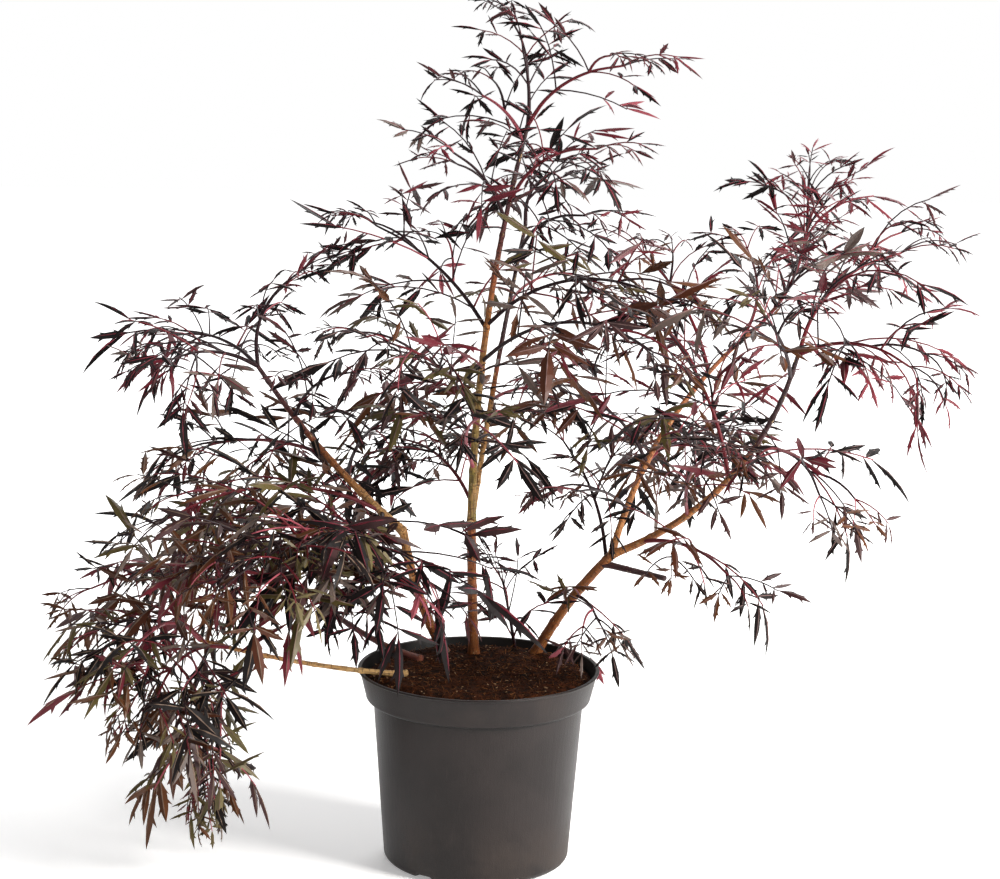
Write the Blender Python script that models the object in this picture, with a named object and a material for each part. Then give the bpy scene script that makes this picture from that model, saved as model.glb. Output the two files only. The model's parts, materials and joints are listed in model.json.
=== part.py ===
"""Potted elderberry with dark, finely cut leaves, in a five-litre nursery pot.

The origin is the centre of the pot's flat underside, +Z is up and -Y faces the viewer. Every stem,
bough and shoot follows one rule: it leaves its parent at a share of the parent's length, with a
compass heading and a rise above the horizon that both change evenly along it.
"""

import math
import random
from dataclasses import dataclass

import bmesh
import bpy
from mathutils import Matrix, Vector
from mathutils.bvhtree import BVHTree

# Pot, in metres
POT_HEIGHT = 0.184
RIM_RADIUS = 0.1125
COLLAR_TOP_RADIUS = 0.1105
COLLAR_FOOT_RADIUS = 0.105
COLLAR_HEIGHT = 0.029
COLLAR_ROUNDING = 0.004
WALL_TOP_RADIUS = 0.0975
FOOT_RADIUS = 0.0868
CORNER_RADIUS = 0.008
CORNER_STEPS = 2
WALL = 0.0018
LIP = 0.002
FLOOR = 0.0025
SEGMENTS = 28

# Drainage notches round the pot's foot
NOTCHES = 6
NOTCH_WIDTH = 0.021
NOTCH_HEIGHT = 0.005
NOTCH_INNER_RADIUS = 0.0725
NOTCH_TURN = math.radians(-93)

# Compost
SOIL_LEVEL = 0.182
SOIL_EDGE = 0.174
SOIL_FLAT_RADIUS = 0.098

# Clearance between pieces that touch on the real plant
GAP = 0.0003

# Stems and boughs
LIMB_SIDES = 6
LIMB_STEP = 0.028
FOOT_DEPTH = 0.008
FLARE = 0.0022
FLARE_HEIGHT = 0.012
FORK_REACH = 0.012
FOOT_CUTTER_SIZE = 0.3

# Leafy shoots
TWIG_SIDES = 3
SHOOT_RADIUS = (0.0027, 0.0017)
SHOOT_STEP = 0.035
FEWEST_STEPS = 4
LEAF_PITCH = 0.082
DENSE_PITCH = 0.060
FEWEST_LEAVES = 2
LOWEST_LEAF = 0.2

# Compound leaves: a stalk that droops from its root, leaflets in pairs, and one at the end
LEAF_LENGTH = 0.140
YOUNG_LEAF_LENGTH = 0.086
GROWN_AT_INDEX = 2
SIZE_SPREAD = 0.08
LEAF_SPREAD = math.radians(52)
TIP_SPREAD = math.radians(8)
LEAF_SPREAD_RANGE = (0.8, 1.15)
LEAF_DROOP = math.radians(75)
LEAF_DROOP_RANGE = (0.7, 1.2)
LEAF_RAISE = 0.3
STEEPEST_DROOP = math.radians(-60)
LEAF_ROLL = 0.6
STALK_SHARE = 0.62
STALK_RADIUS = (0.0014, 0.0010)
STALK_STEPS = 2
STALK_SINK = 0.004

# Leaflets
LEAFLET_LENGTH = 0.078
LEAFLET_WIDTH = 0.021
LEAFLET_THICKNESS = 0.0014
LEAFLET_SPREAD = math.radians(48)
LEAFLET_DROOP = 0.35
LEAFLET_SINK = 0.0007
TIP_SINK = 0.003
PAIR_PLACES = (0.46, 0.74)
PAIR_STAGGER = 0.03
TIP_PLACE = 0.96
LOWER_PAIR_SIZE = 0.85
WIDEST = 0.42

# How leaves are dealt out round a shoot, and how much room each keeps
TURN_PER_LEAF = math.pi
TURN_PER_PAIR = 0.9
TURN_PER_TRY = 0.7
TURN_SPREAD = 0.3
STEP_PER_TRY = 0.05
TRIES = 6
CLEARANCE = 0.0006
SEED = 11

UP = Vector((0, 0, 1))


@dataclass(frozen=True)
class Limb:
    """A stem or bough: where it leaves its parent, how it runs, and how thick it is.

    heading and rise are degrees at its start and end, and radius is in metres at its start and end.
    """

    name: str
    parent: str
    at: float
    heading: tuple
    rise: tuple
    length: float
    radius: tuple


@dataclass(frozen=True)
class Shoot:
    """A leafy shoot, which makes one mass of foliage. Its first values mean what they do on a Limb.

    pitch is the distance between its leaves and size how large they are for their age.
    """

    name: str
    parent: str
    at: float
    heading: tuple
    rise: tuple
    length: float
    pitch: float = LEAF_PITCH
    size: float = 1.0


# Where each stem leaves the compost
BASES = {
    "stem_centre": (-0.005, 0.062),
    "stem_right": (0.055, 0.066),
    "stem_left": (-0.034, 0.062),
    "stem_left_low": (-0.062, 0.036),
    "stem_trailing": (-0.074, -0.022),
    "foliage_sprout": (0.034, 0.085),
}

LIMBS = (
    Limb("stem_centre", "", 0, (-100, -95), (75, 80), 0.135, (0.0049, 0.0042)),
    Limb("leader", "stem_centre", 1, (0, 0), (90, 76), 0.375, (0.0040, 0.0018)),
    Limb("leader_second", "stem_centre", 1, (60, 55), (75, 70), 0.285, (0.0028, 0.0017)),
    Limb("stem_right", "", 0, (-35, -35), (60, 45), 0.135, (0.0050, 0.0042)),
    Limb("bough_right_outer", "stem_right", 1, (-20, -55), (25, 70), 0.29, (0.0037, 0.0020)),
    Limb("bough_right_inner", "stem_right", 1, (60, 20), (60, 35), 0.275, (0.0033, 0.0018)),
    Limb("bough_right_stub", "stem_right", 0.90, (-30, -45), (-5, 0), 0.070, (0.0031, 0.0027)),
    Limb("stem_left", "", 0, (-120, -100), (50, 55), 0.175, (0.0048, 0.0040)),
    Limb("bough_left", "stem_left", 1, (175, 170), (40, 55), 0.20, (0.0039, 0.0020)),
    Limb("stem_left_low", "", 0, (150, 150), (10, 30), 0.11, (0.0034, 0.0023)),
    Limb("stem_trailing", "", 0, (-155, -155), (10, 20), 0.20, (0.0025, 0.0017)),
)

SHOOTS = (
    Shoot("foliage_leader_tip", "leader", 1, (180, 180), (95, 75), 0.07),
    Shoot("foliage_top_right", "leader", 1, (-50, -20), (55, 5), 0.12),
    Shoot("foliage_top_left", "leader", 0.96, (150, 155), (65, 20), 0.06),
    Shoot("foliage_upper_left", "leader", 0.76, (-120, -140), (60, 25), 0.10),
    Shoot("foliage_upper_right", "leader", 0.81, (-60, -45), (50, 0), 0.14),
    Shoot("foliage_second_tip", "leader_second", 1, (95, 40), (45, 10), 0.10),
    Shoot("foliage_second_side", "leader_second", 0.92, (-65, -45), (45, 0), 0.11),
    Shoot("foliage_arch_left_high", "leader", 0.49, (140, 145), (50, 15), 0.16),
    Shoot("foliage_arch_left_mid", "leader", 0.26, (-110, -125), (45, 15), 0.19),
    Shoot("foliage_arch_right_high", "leader", 0.50, (-35, -40), (45, -20), 0.21),
    Shoot("foliage_arch_right_low", "leader", 0.41, (-55, -60), (35, -15), 0.28),
    Shoot("foliage_centre_back", "leader_second", 0.73, (80, 65), (10, -5), 0.18),
    Shoot("foliage_centre_low", "leader_second", 0.41, (75, 65), (0, -10), 0.18),
    Shoot("foliage_centre_left", "leader", 0.05, (110, 125), (30, -5), 0.16),
    Shoot("foliage_centre_front", "leader", 0.14, (-105, -60), (40, 10), 0.20),
    Shoot("foliage_left_tip", "bough_left", 1, (-135, -125), (30, -10), 0.11),
    Shoot("foliage_left_upright", "bough_left", 1, (110, 20), (55, 30), 0.12),
    Shoot("foliage_left_red", "bough_left", 1, (115, 135), (15, -5), 0.15),
    Shoot("foliage_left_inner_top", "bough_left", 0.72, (-65, -45), (50, 10), 0.11),
    Shoot("foliage_left_bow", "bough_left", 0.36, (85, 55), (25, -5), 0.19),
    Shoot("foliage_left_shoulder", "bough_left", 0.49, (130, 130), (5, -20), 0.21, pitch=DENSE_PITCH),
    Shoot("foliage_left_crest", "bough_left", 0.14, (-160, -150), (30, -25), 0.21, pitch=DENSE_PITCH),
    Shoot("foliage_left_hanging", "bough_left", 0.13, (-85, -90), (-15, -10), 0.12),
    Shoot("foliage_left_heart", "stem_left", 0.81, (-130, -130), (35, -25), 0.25, pitch=DENSE_PITCH),
    Shoot("foliage_left_rear", "stem_left", 0.70, (130, 145), (15, -30), 0.36, pitch=DENSE_PITCH),
    Shoot("foliage_left_far", "stem_left_low", 1, (-175, -170), (35, -25), 0.23, pitch=DENSE_PITCH),
    Shoot("foliage_left_lower", "stem_left_low", 0.78, (125, 140), (25, -50), 0.24, pitch=DENSE_PITCH),
    Shoot("foliage_trailing_tip", "stem_trailing", 1, (-150, -130), (60, -55), 0.08),
    Shoot("foliage_trailing_drop", "stem_trailing", 0.67, (170, 165), (-25, -100), 0.13),
    Shoot("foliage_trailing_outer", "stem_trailing", 0.86, (-130, -105), (20, -40), 0.12),
    Shoot("foliage_right_inner_low", "stem_right", 0.94, (95, 130), (50, 35), 0.14),
    Shoot("foliage_fork_left", "bough_right_inner", 0.35, (-135, -145), (60, 15), 0.13),
    Shoot("foliage_fork_right", "bough_right_inner", 0.35, (75, 60), (5, -5), 0.19),
    Shoot("foliage_fork_droop", "bough_right_inner", 0.17, (-110, -115), (30, 5), 0.14),
    Shoot("foliage_right_red", "bough_right_outer", 0.50, (125, 155), (75, 40), 0.17),
    Shoot("foliage_right_crest", "bough_right_inner", 0.75, (110, 135), (55, 30), 0.15),
    Shoot("foliage_right_shelf", "bough_right_outer", 0.30, (-100, -75), (35, 20), 0.21),
    Shoot("foliage_right_low_droop", "bough_right_outer", 0.12, (-55, -70), (15, -15), 0.15),
    Shoot("foliage_right_arch_low", "bough_right_outer", 0.64, (-60, -85), (15, -25), 0.15),
    Shoot("foliage_right_outer_tip", "bough_right_outer", 1, (-40, -50), (30, -25), 0.125, pitch=DENSE_PITCH),
    Shoot("foliage_right_outer_up", "bough_right_outer", 1, (15, 5), (80, 10), 0.135, pitch=DENSE_PITCH),
    Shoot("foliage_right_top", "bough_right_inner", 1, (20, 40), (40, 95), 0.135, pitch=DENSE_PITCH),
    Shoot("foliage_right_left_spray", "bough_right_inner", 0.90, (60, 105), (25, 30), 0.16),
    Shoot("foliage_right_heart", "bough_right_outer", 0.92, (-100, -125), (40, 35), 0.11),
    Shoot("foliage_stem_right_low", "stem_right", 0.56, (-60, -85), (0, -15), 0.06, size=0.6),
    Shoot("foliage_sprout", "", 0, (-150, -150), (80, 75), 0.06, size=0.5),
)

# Colours (linear RGB)
PLASTIC = (0.085, 0.078, 0.076)
COMPOST = (0.022, 0.009, 0.004)
ORANGE_BARK = (0.30, 0.12, 0.035)
OLIVE_BARK = (0.22, 0.19, 0.035)
CRIMSON_BARK = (0.24, 0.02, 0.03)
PURPLE_LEAF = (0.045, 0.018, 0.024)
WINE_LEAF = (0.13, 0.022, 0.032)
BRONZE_LEAF = (0.085, 0.060, 0.022)

LIMB_COLOURS = {
    "stem_trailing": OLIVE_BARK,
    "leader_second": CRIMSON_BARK,
    "stem_left_low": CRIMSON_BARK,
    "bough_right_stub": CRIMSON_BARK,
}
WINE_SHOOTS = ("_red", "_tip", "_top", "_outer_up")
BRONZE_SHOOTS = ("_low", "_heart", "_drop", "_hanging", "_front", "_far")

# How rough each surface is, and the angle past which an edge stays sharp
PLASTIC_ROUGHNESS = 0.42
COMPOST_ROUGHNESS = 0.95
BARK_ROUGHNESS = 0.6
LEAF_ROUGHNESS = 0.55
SHARP_ANGLE = math.radians(35)


def direction(heading, rise):
    """The unit vector with this compass heading and rise above the horizon, both in radians."""
    flat = math.cos(rise)
    return Vector((math.cos(heading) * flat, math.sin(heading) * flat, math.sin(rise)))


def course(start, heading, rise, length, steps):
    """Points of a centreline whose heading and rise change evenly from start to end."""
    points = [Vector(start)]
    for step in range(steps):
        share = (step + 0.5) / steps
        turn = heading[0] + (heading[1] - heading[0]) * share
        lift = rise[0] + (rise[1] - rise[0]) * share
        points.append(points[-1] + direction(turn, lift) * (length / steps))
    return points


def along(points, share):
    """The point at this share of a centreline, and its direction there."""
    place = min(max(share, 0), 1) * (len(points) - 1)
    index = min(int(place), len(points) - 2)
    step = points[index + 1] - points[index]
    return points[index] + step * (place - index), step.normalized()


def tube(points, radius, sides, swell=0.0):
    """A closed tapering tube along a centreline, as a bmesh. swell adds to its radius and its ends."""
    bm = bmesh.new()
    steps = len(points) - 1
    side = along(points, 0)[1].orthogonal().normalized()
    rings = []
    for step, centre in enumerate(points):
        before, after = along(points, (step - 0.5) / steps)[1], along(points, (step + 0.5) / steps)[1]
        ahead = (before + after).normalized()
        side = (side - ahead * side.dot(ahead)).normalized()
        across = ahead.cross(side)
        if step in (0, steps):
            centre = centre + ahead * (swell if step else -swell)
        reach = radius(step / steps) + swell / math.cos(math.pi / sides)
        angles = (2 * math.pi * corner / sides for corner in range(sides))
        spokes = (side * math.cos(angle) + across * math.sin(angle) for angle in angles)
        rings.append([bm.verts.new(centre + spoke * reach) for spoke in spokes])
    for low, high in zip(rings, rings[1:]):
        for corner in range(sides):
            after = (corner + 1) % sides
            bm.faces.new((low[corner], low[after], high[after], high[corner]))
    bm.faces.new(rings[0][::-1])
    bm.faces.new(rings[-1])
    return bm


def taper(ends, length=0.0, flare=0.0):
    """A radius that falls evenly from base to tip, with a flare at the foot if it has one."""

    def radius(share):
        even = ends[0] + (ends[1] - ends[0]) * share
        return even + flare * math.exp(-share * length / FLARE_HEIGHT)

    return radius


def blade(root, ahead, normal, length, width, swell=0.0):
    """A pointed blade of eight faces that starts at root: six corners, ridged on both sides."""
    across = normal.cross(ahead).normalized()
    middle = root + ahead * (length * WIDEST)
    side = across * (width / 2 + swell)
    ridge = ahead.cross(across) * (LEAFLET_THICKNESS / 2 + swell)
    bm = bmesh.new()
    back, tip = bm.verts.new(root), bm.verts.new(root + ahead * (length + swell))
    belt = [bm.verts.new(middle + offset) for offset in (side, ridge, -side, -ridge)]
    for first, second in zip(belt, belt[1:] + belt[:1]):
        bm.faces.new((back, second, first))
        bm.faces.new((tip, first, second))
    return bm


def level_beside(ahead):
    """The level direction at right angles to a heading."""
    level = ahead.cross(UP)
    return level.normalized() if level.length > 0.05 else ahead.orthogonal().normalized()


@dataclass(frozen=True)
class Leaf:
    """One compound leaf: its stalk's centreline, its size, its roll and its pairs of leaflets."""

    stalk: list
    size: float
    roll: float
    pairs: int

    def leaflet(self, place, side, swell):
        """The leaflet at this place along the stalk: side is 1 or -1 in a pair, and 0 at the end."""
        root, ahead = along(self.stalk, place + PAIR_STAGGER * side)
        level = level_beside(ahead)
        level = level * math.cos(self.roll) + level.cross(ahead) * math.sin(self.roll)
        spread = LEAFLET_SPREAD * side
        aim = ahead * math.cos(spread) + level * math.sin(spread)
        aim = (aim - UP * LEAFLET_DROOP * abs(side)).normalized()
        root = root - aim * (LEAFLET_SINK if side else TIP_SINK)
        length = LEAFLET_LENGTH * self.size * (LOWER_PAIR_SIZE if place == PAIR_PLACES[0] else 1)
        return blade(root, aim, level.cross(ahead), length, LEAFLET_WIDTH * self.size, swell)

    def meshes(self, swell=0.0):
        """The stalk and each leaflet as closed bmeshes."""
        places = [(place, side) for place in PAIR_PLACES[-self.pairs :] for side in (1, -1)]
        leaflets = [self.leaflet(place, side, swell) for place, side in places + [(TIP_PLACE, 0)]]
        return [tube(self.stalk, taper(STALK_RADIUS), TWIG_SIDES, swell)] + leaflets


def merged(parts):
    """All triangles of some bmeshes as one BVH tree."""
    corners, faces = [], []
    for part in parts:
        part.verts.index_update()
        first = len(corners)
        corners += [vert.co.copy() for vert in part.verts]
        faces += [[first + vert.index for vert in face.verts] for face in part.faces]
    return BVHTree.FromPolygons(corners, faces)


def mesh_object(name, bm, colour, roughness=BARK_ROUGHNESS, smooth=True):
    """Turn a bmesh into an object with its own material, its faces pointing out."""
    bmesh.ops.recalc_face_normals(bm, faces=bm.faces)
    mesh = bpy.data.meshes.new(name)
    bm.to_mesh(mesh)
    bm.free()
    material = bpy.data.materials.new(name)
    material.use_nodes = True
    shader = material.node_tree.nodes["Principled BSDF"]
    shader.inputs["Base Color"].default_value = (*colour, 1)
    shader.inputs["Roughness"].default_value = roughness
    mesh.materials.append(material)
    if smooth:
        mesh.shade_smooth()
        mesh.set_sharp_from_angle(angle=SHARP_ANGLE)
    obj = bpy.data.objects.new(name, mesh)
    bpy.context.scene.collection.objects.link(obj)
    return obj


def boolean(target, parts, operation):
    """Join the parts to the target, or cut them from it, as one applied Boolean on a collection."""
    tools = bpy.data.collections.new("tools")
    bpy.context.scene.collection.children.link(tools)
    for part in parts:
        bmesh.ops.recalc_face_normals(part, faces=part.faces)
        mesh = bpy.data.meshes.new("tool")
        part.to_mesh(mesh)
        part.free()
        tools.objects.link(bpy.data.objects.new("tool", mesh))
    modifier = target.modifiers.new(operation, "BOOLEAN")
    modifier.operation = operation
    modifier.operand_type = "COLLECTION"
    modifier.collection = tools
    modifier.solver = "MANIFOLD" if operation == "UNION" else "EXACT"
    bpy.context.view_layer.objects.active = target
    bpy.ops.object.modifier_apply(modifier=modifier.name)
    for obj in list(tools.objects):
        bpy.data.meshes.remove(obj.data)
    bpy.data.collections.remove(tools)


def keep_largest_body(obj):
    """Drop the scraps that a cut leaves loose."""
    bm = bmesh.new()
    bm.from_mesh(obj.data)
    unseen = set(bm.verts)
    bodies = []
    while unseen:
        body, edge = set(), [next(iter(unseen))]
        while edge:
            vert = edge.pop()
            if vert in body:
                continue
            body.add(vert)
            edge += [link.other_vert(vert) for link in vert.link_edges]
        unseen -= body
        bodies.append(body)
    bodies.sort(key=len)
    bmesh.ops.delete(bm, geom=[vert for body in bodies[:-1] for vert in body], context="VERTS")
    bm.to_mesh(obj.data)
    bm.free()


def turned(outline):
    """A bmesh turned round Z from (radius, height) points that start and end on the axis."""
    bm = bmesh.new()
    rings = []
    for radius, height in outline:
        if radius == 0:
            rings.append([bm.verts.new((0, 0, height))])
            continue
        angles = (2 * math.pi * step / SEGMENTS for step in range(SEGMENTS))
        rings.append([bm.verts.new((radius * math.cos(a), radius * math.sin(a), height)) for a in angles])
    for low, high in zip(rings, rings[1:]):
        for step in range(SEGMENTS):
            after = (step + 1) % SEGMENTS
            around = zip((low, low, high, high), (step, after, after, step))
            corners = [ring[turn % len(ring)] for ring, turn in around]
            bm.faces.new(list(dict.fromkeys(corners)))
    return bm


def corner_arc(radius, size, level):
    """Points of the rounded edge between the pot's floor and its wall, from the floor up."""
    centre = (radius - size, level + size)
    angles = (-math.pi / 2 * (1 - step / CORNER_STEPS) for step in range(CORNER_STEPS + 1))
    return [(centre[0] + size * math.cos(a), centre[1] + size * math.sin(a)) for a in angles]


def pot_wall(inset, lift=0.0):
    """The wall's corners from its foot to the collar's, moved in by inset, as (radius, height)."""
    collar_foot = POT_HEIGHT - COLLAR_HEIGHT + lift
    return [
        (WALL_TOP_RADIUS - inset, collar_foot - COLLAR_ROUNDING),
        (COLLAR_FOOT_RADIUS - inset - COLLAR_ROUNDING / 2, collar_foot + COLLAR_ROUNDING / 4),
        (COLLAR_FOOT_RADIUS - inset, collar_foot + COLLAR_ROUNDING),
    ]


def build_pot():
    """The pot: a tapering wall, a wider collar with a lip, and drainage notches round the foot."""
    outer = [(0, 0)] + corner_arc(FOOT_RADIUS, CORNER_RADIUS, 0) + pot_wall(0)
    outer += [
        (COLLAR_TOP_RADIUS, POT_HEIGHT - LIP),
        (RIM_RADIUS, POT_HEIGHT - LIP),
        (RIM_RADIUS, POT_HEIGHT - LIP / 4),
        (RIM_RADIUS - LIP / 4, POT_HEIGHT),
    ]
    inner = [(COLLAR_TOP_RADIUS - WALL, POT_HEIGHT)] + pot_wall(WALL, WALL / 2)[::-1]
    inner += corner_arc(FOOT_RADIUS - WALL, CORNER_RADIUS - WALL, FLOOR)[::-1] + [(0, FLOOR)]
    pot = mesh_object("pot", turned(outer + inner), PLASTIC, PLASTIC_ROUGHNESS)
    for index in range(NOTCHES):
        angle = NOTCH_TURN + 2 * math.pi * index / NOTCHES
        cutter = bmesh.new()
        bmesh.ops.create_cube(cutter, size=2)
        size = (FOOT_RADIUS - NOTCH_INNER_RADIUS, NOTCH_WIDTH / 2, NOTCH_HEIGHT)
        bmesh.ops.scale(cutter, vec=size, verts=cutter.verts)
        bmesh.ops.translate(cutter, vec=(FOOT_RADIUS, 0, 0), verts=cutter.verts)
        bmesh.ops.rotate(cutter, matrix=Matrix.Rotation(angle, 3, "Z"), verts=cutter.verts)
        boolean(pot, [cutter], "DIFFERENCE")
    return pot


def build_soil():
    """The compost that fills the pot, nearly to the lip, with a level top that slopes to the wall."""
    slack = WALL + 2 * GAP
    outline = [(0, FLOOR + GAP)]
    outline += corner_arc(FOOT_RADIUS - slack, CORNER_RADIUS - WALL, FLOOR + GAP)
    outline += pot_wall(slack, 2 * WALL)
    outline += [
        (COLLAR_TOP_RADIUS - slack - WALL, SOIL_EDGE),
        (SOIL_FLAT_RADIUS, SOIL_LEVEL),
        (0, SOIL_LEVEL),
    ]
    return mesh_object("compost", turned(outline), COMPOST, COMPOST_ROUGHNESS)


class Plant:
    """Grows the limbs, then the shoots, and keeps the space that each one takes."""

    def __init__(self):
        self.courses = {}
        self.tubes = {}
        self.taken = {}

    def keep_clear_of(self, obj):
        """Count a finished piece among those that no leaf may touch."""
        bm = bmesh.new()
        bm.from_mesh(obj.data)
        self.taken[obj.name] = [merged([bm])]
        bm.free()

    def start_of(self, limb):
        """The point where a limb or shoot starts: on its parent's centreline, or on the compost."""
        if limb.parent:
            return along(self.courses[limb.parent], limb.at)[0]
        return Vector((*BASES[limb.name], SOIL_LEVEL + GAP))

    def trace(self, limb, radius, sides, step):
        """Work out a limb's centreline and a function that makes its tube."""
        heading = tuple(math.radians(value) for value in limb.heading)
        rise = tuple(math.radians(value) for value in limb.rise)
        steps = max(FEWEST_STEPS, round(limb.length / step))
        points = course(self.start_of(limb), heading, rise, limb.length, steps)
        if not limb.parent:
            points[0] = points[0] - (points[1] - points[0]).normalized() * FOOT_DEPTH
        self.courses[limb.name] = points
        self.tubes[limb.name] = lambda swell=0.0: tube(points, radius, sides, swell)

    def neighbours_at_root(self, limb):
        """The limbs and shoots made so far that the root of this one would run into."""
        root = self.courses[limb.name][0]
        near = []
        for name in self.courses.keys() & self.taken.keys():
            gaps = ((point - root).length for point in self.courses[name])
            if name == limb.parent or min(gaps) < FORK_REACH:
                near.append(name)
        return near

    def cut_root(self, obj, limb):
        """Cut the limb's root to fit round its parent, a hair clear of it."""
        for name in self.neighbours_at_root(limb):
            boolean(obj, [self.tubes[name](GAP)], "DIFFERENCE")
        if not limb.parent:
            self.level_foot(obj)
        keep_largest_body(obj)

    def level_foot(self, obj):
        """Cut the stem flat, just above the compost."""
        cutter = bmesh.new()
        bmesh.ops.create_cube(cutter, size=FOOT_CUTTER_SIZE)
        middle = SOIL_LEVEL + GAP - FOOT_CUTTER_SIZE / 2
        bmesh.ops.translate(cutter, verts=cutter.verts, vec=(0, 0, middle))
        boolean(obj, [cutter], "DIFFERENCE")

    def grow_limb(self, limb):
        """A stem or bough as one tapering limb, flared at the foot if it stands in the compost."""
        flare = 0 if limb.parent else FLARE
        radius = taper(limb.radius, limb.length, flare)
        self.trace(limb, radius, LIMB_SIDES, LIMB_STEP)
        obj = mesh_object(limb.name, self.tubes[limb.name](), LIMB_COLOURS.get(limb.name, ORANGE_BARK))
        self.cut_root(obj, limb)
        self.taken[limb.name] = [merged([self.tubes[limb.name](GAP)])]

    def leaf_at(self, shoot, index, share, turn, rng):
        """The leaf of this index, counted from the tip, turned round the shoot by turn radians."""
        root, ahead = along(self.courses[shoot.name], share)
        level = level_beside(ahead)
        out = level * math.cos(turn) + level.cross(ahead) * math.sin(turn)
        spread = LEAF_SPREAD * rng.uniform(*LEAF_SPREAD_RANGE) if index else TIP_SPREAD
        aim = ahead * math.cos(spread) + out * math.sin(spread)
        heading = math.atan2(aim.y, aim.x)
        rise = math.asin(max(-1, min(1, aim.z)))
        droop = LEAF_DROOP * rng.uniform(*LEAF_DROOP_RANGE) if rise > STEEPEST_DROOP else 0
        grown = min(1, index / GROWN_AT_INDEX)
        length = YOUNG_LEAF_LENGTH + (LEAF_LENGTH - YOUNG_LEAF_LENGTH) * grown
        length *= shoot.size * rng.uniform(1 - SIZE_SPREAD, 1 + SIZE_SPREAD)
        rises = (rise + droop * LEAF_RAISE, rise - droop * (1 - LEAF_RAISE))
        stalk = course(root, (heading, heading), rises, length * STALK_SHARE, STALK_STEPS)
        pairs = len(PAIR_PLACES) if index else 1
        return Leaf(stalk, length / LEAF_LENGTH, rng.uniform(-LEAF_ROLL, LEAF_ROLL), pairs)

    def is_clear(self, parts, own, blades):
        """Whether a leaf touches no other piece, nor the blades of its own mass."""
        whole, own_blades = merged(parts), merged(parts[1:])
        others = (tree for name, trees in self.taken.items() if name != own for tree in trees)
        return not any(map(whole.overlap, others)) and not any(map(own_blades.overlap, blades))

    def leaves_of(self, shoot):
        """The compound leaves of one shoot, from its tip down, that keep clear of everything else."""
        rng = random.Random(f"{SEED} {shoot.name}")
        leaves, blades = [], []
        for index in range(max(FEWEST_LEAVES, round(shoot.length / shoot.pitch))):
            share = 1 - (STALK_SINK + index * shoot.pitch) / shoot.length
            for attempt in range(TRIES):
                turn = TURN_PER_LEAF * index + TURN_PER_PAIR * (index // 2) + TURN_PER_TRY * attempt
                turn += rng.uniform(-TURN_SPREAD, TURN_SPREAD)
                place = max(share - STEP_PER_TRY * attempt, LOWEST_LEAF)
                leaf = self.leaf_at(shoot, index, place, turn, rng)
                parts = leaf.meshes(CLEARANCE)
                if self.is_clear(parts, shoot.name, blades):
                    self.taken[shoot.name].append(merged(parts))
                    blades.append(merged(parts[1:]))
                    leaves.append(leaf)
                    break
        return leaves

    def colour_of(self, name):
        """Wine at the young tips, bronze on the old low foliage, and dark purple elsewhere."""
        if name.endswith(WINE_SHOOTS):
            return WINE_LEAF
        return BRONZE_LEAF if name.endswith(BRONZE_SHOOTS) else PURPLE_LEAF

    def grow_shoots(self):
        """Lay every shoot first, so that leaves also keep clear of the shoots that come after."""
        stems = {}
        for shoot in SHOOTS:
            self.trace(shoot, taper(SHOOT_RADIUS), TWIG_SIDES, SHOOT_STEP)
            stem, colour = self.tubes[shoot.name](), self.colour_of(shoot.name)
            stems[shoot.name] = mesh_object(shoot.name, stem, colour, LEAF_ROUGHNESS, smooth=False)
            self.cut_root(stems[shoot.name], shoot)
            self.taken[shoot.name] = [merged([self.tubes[shoot.name](GAP)])]
        for shoot in SHOOTS:
            leaves = self.leaves_of(shoot)
            boolean(stems[shoot.name], [part for leaf in leaves for part in leaf.meshes()], "UNION")
            keep_largest_body(stems[shoot.name])


def main():
    for obj in list(bpy.data.objects):
        bpy.data.objects.remove(obj)
    plant = Plant()
    plant.keep_clear_of(build_pot())
    plant.keep_clear_of(build_soil())
    for limb in LIMBS:
        plant.grow_limb(limb)
    plant.grow_shoots()


main()
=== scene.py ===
"""Looks of a potted elder with dark, finely cut leaves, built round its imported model.

Sizes are in metres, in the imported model's frame: the origin is the centre of the pot's flat underside,
+Z is up and -Y faces the viewer. Stems and shoots follow the rule of the part's source: each leaves its
parent at a share of the parent's length, with a compass heading and a rise above the horizon that both
change evenly along it. Here the shoots go on to finer twigs, and carry their full number of leaves.
"""

from __future__ import annotations

import json
import logging
import math
import random
from dataclasses import dataclass, field
from enum import Enum
from typing import Callable, Iterable, Sequence

import bpy
import numpy as np
from mathutils import Matrix, Vector, noise

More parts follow.
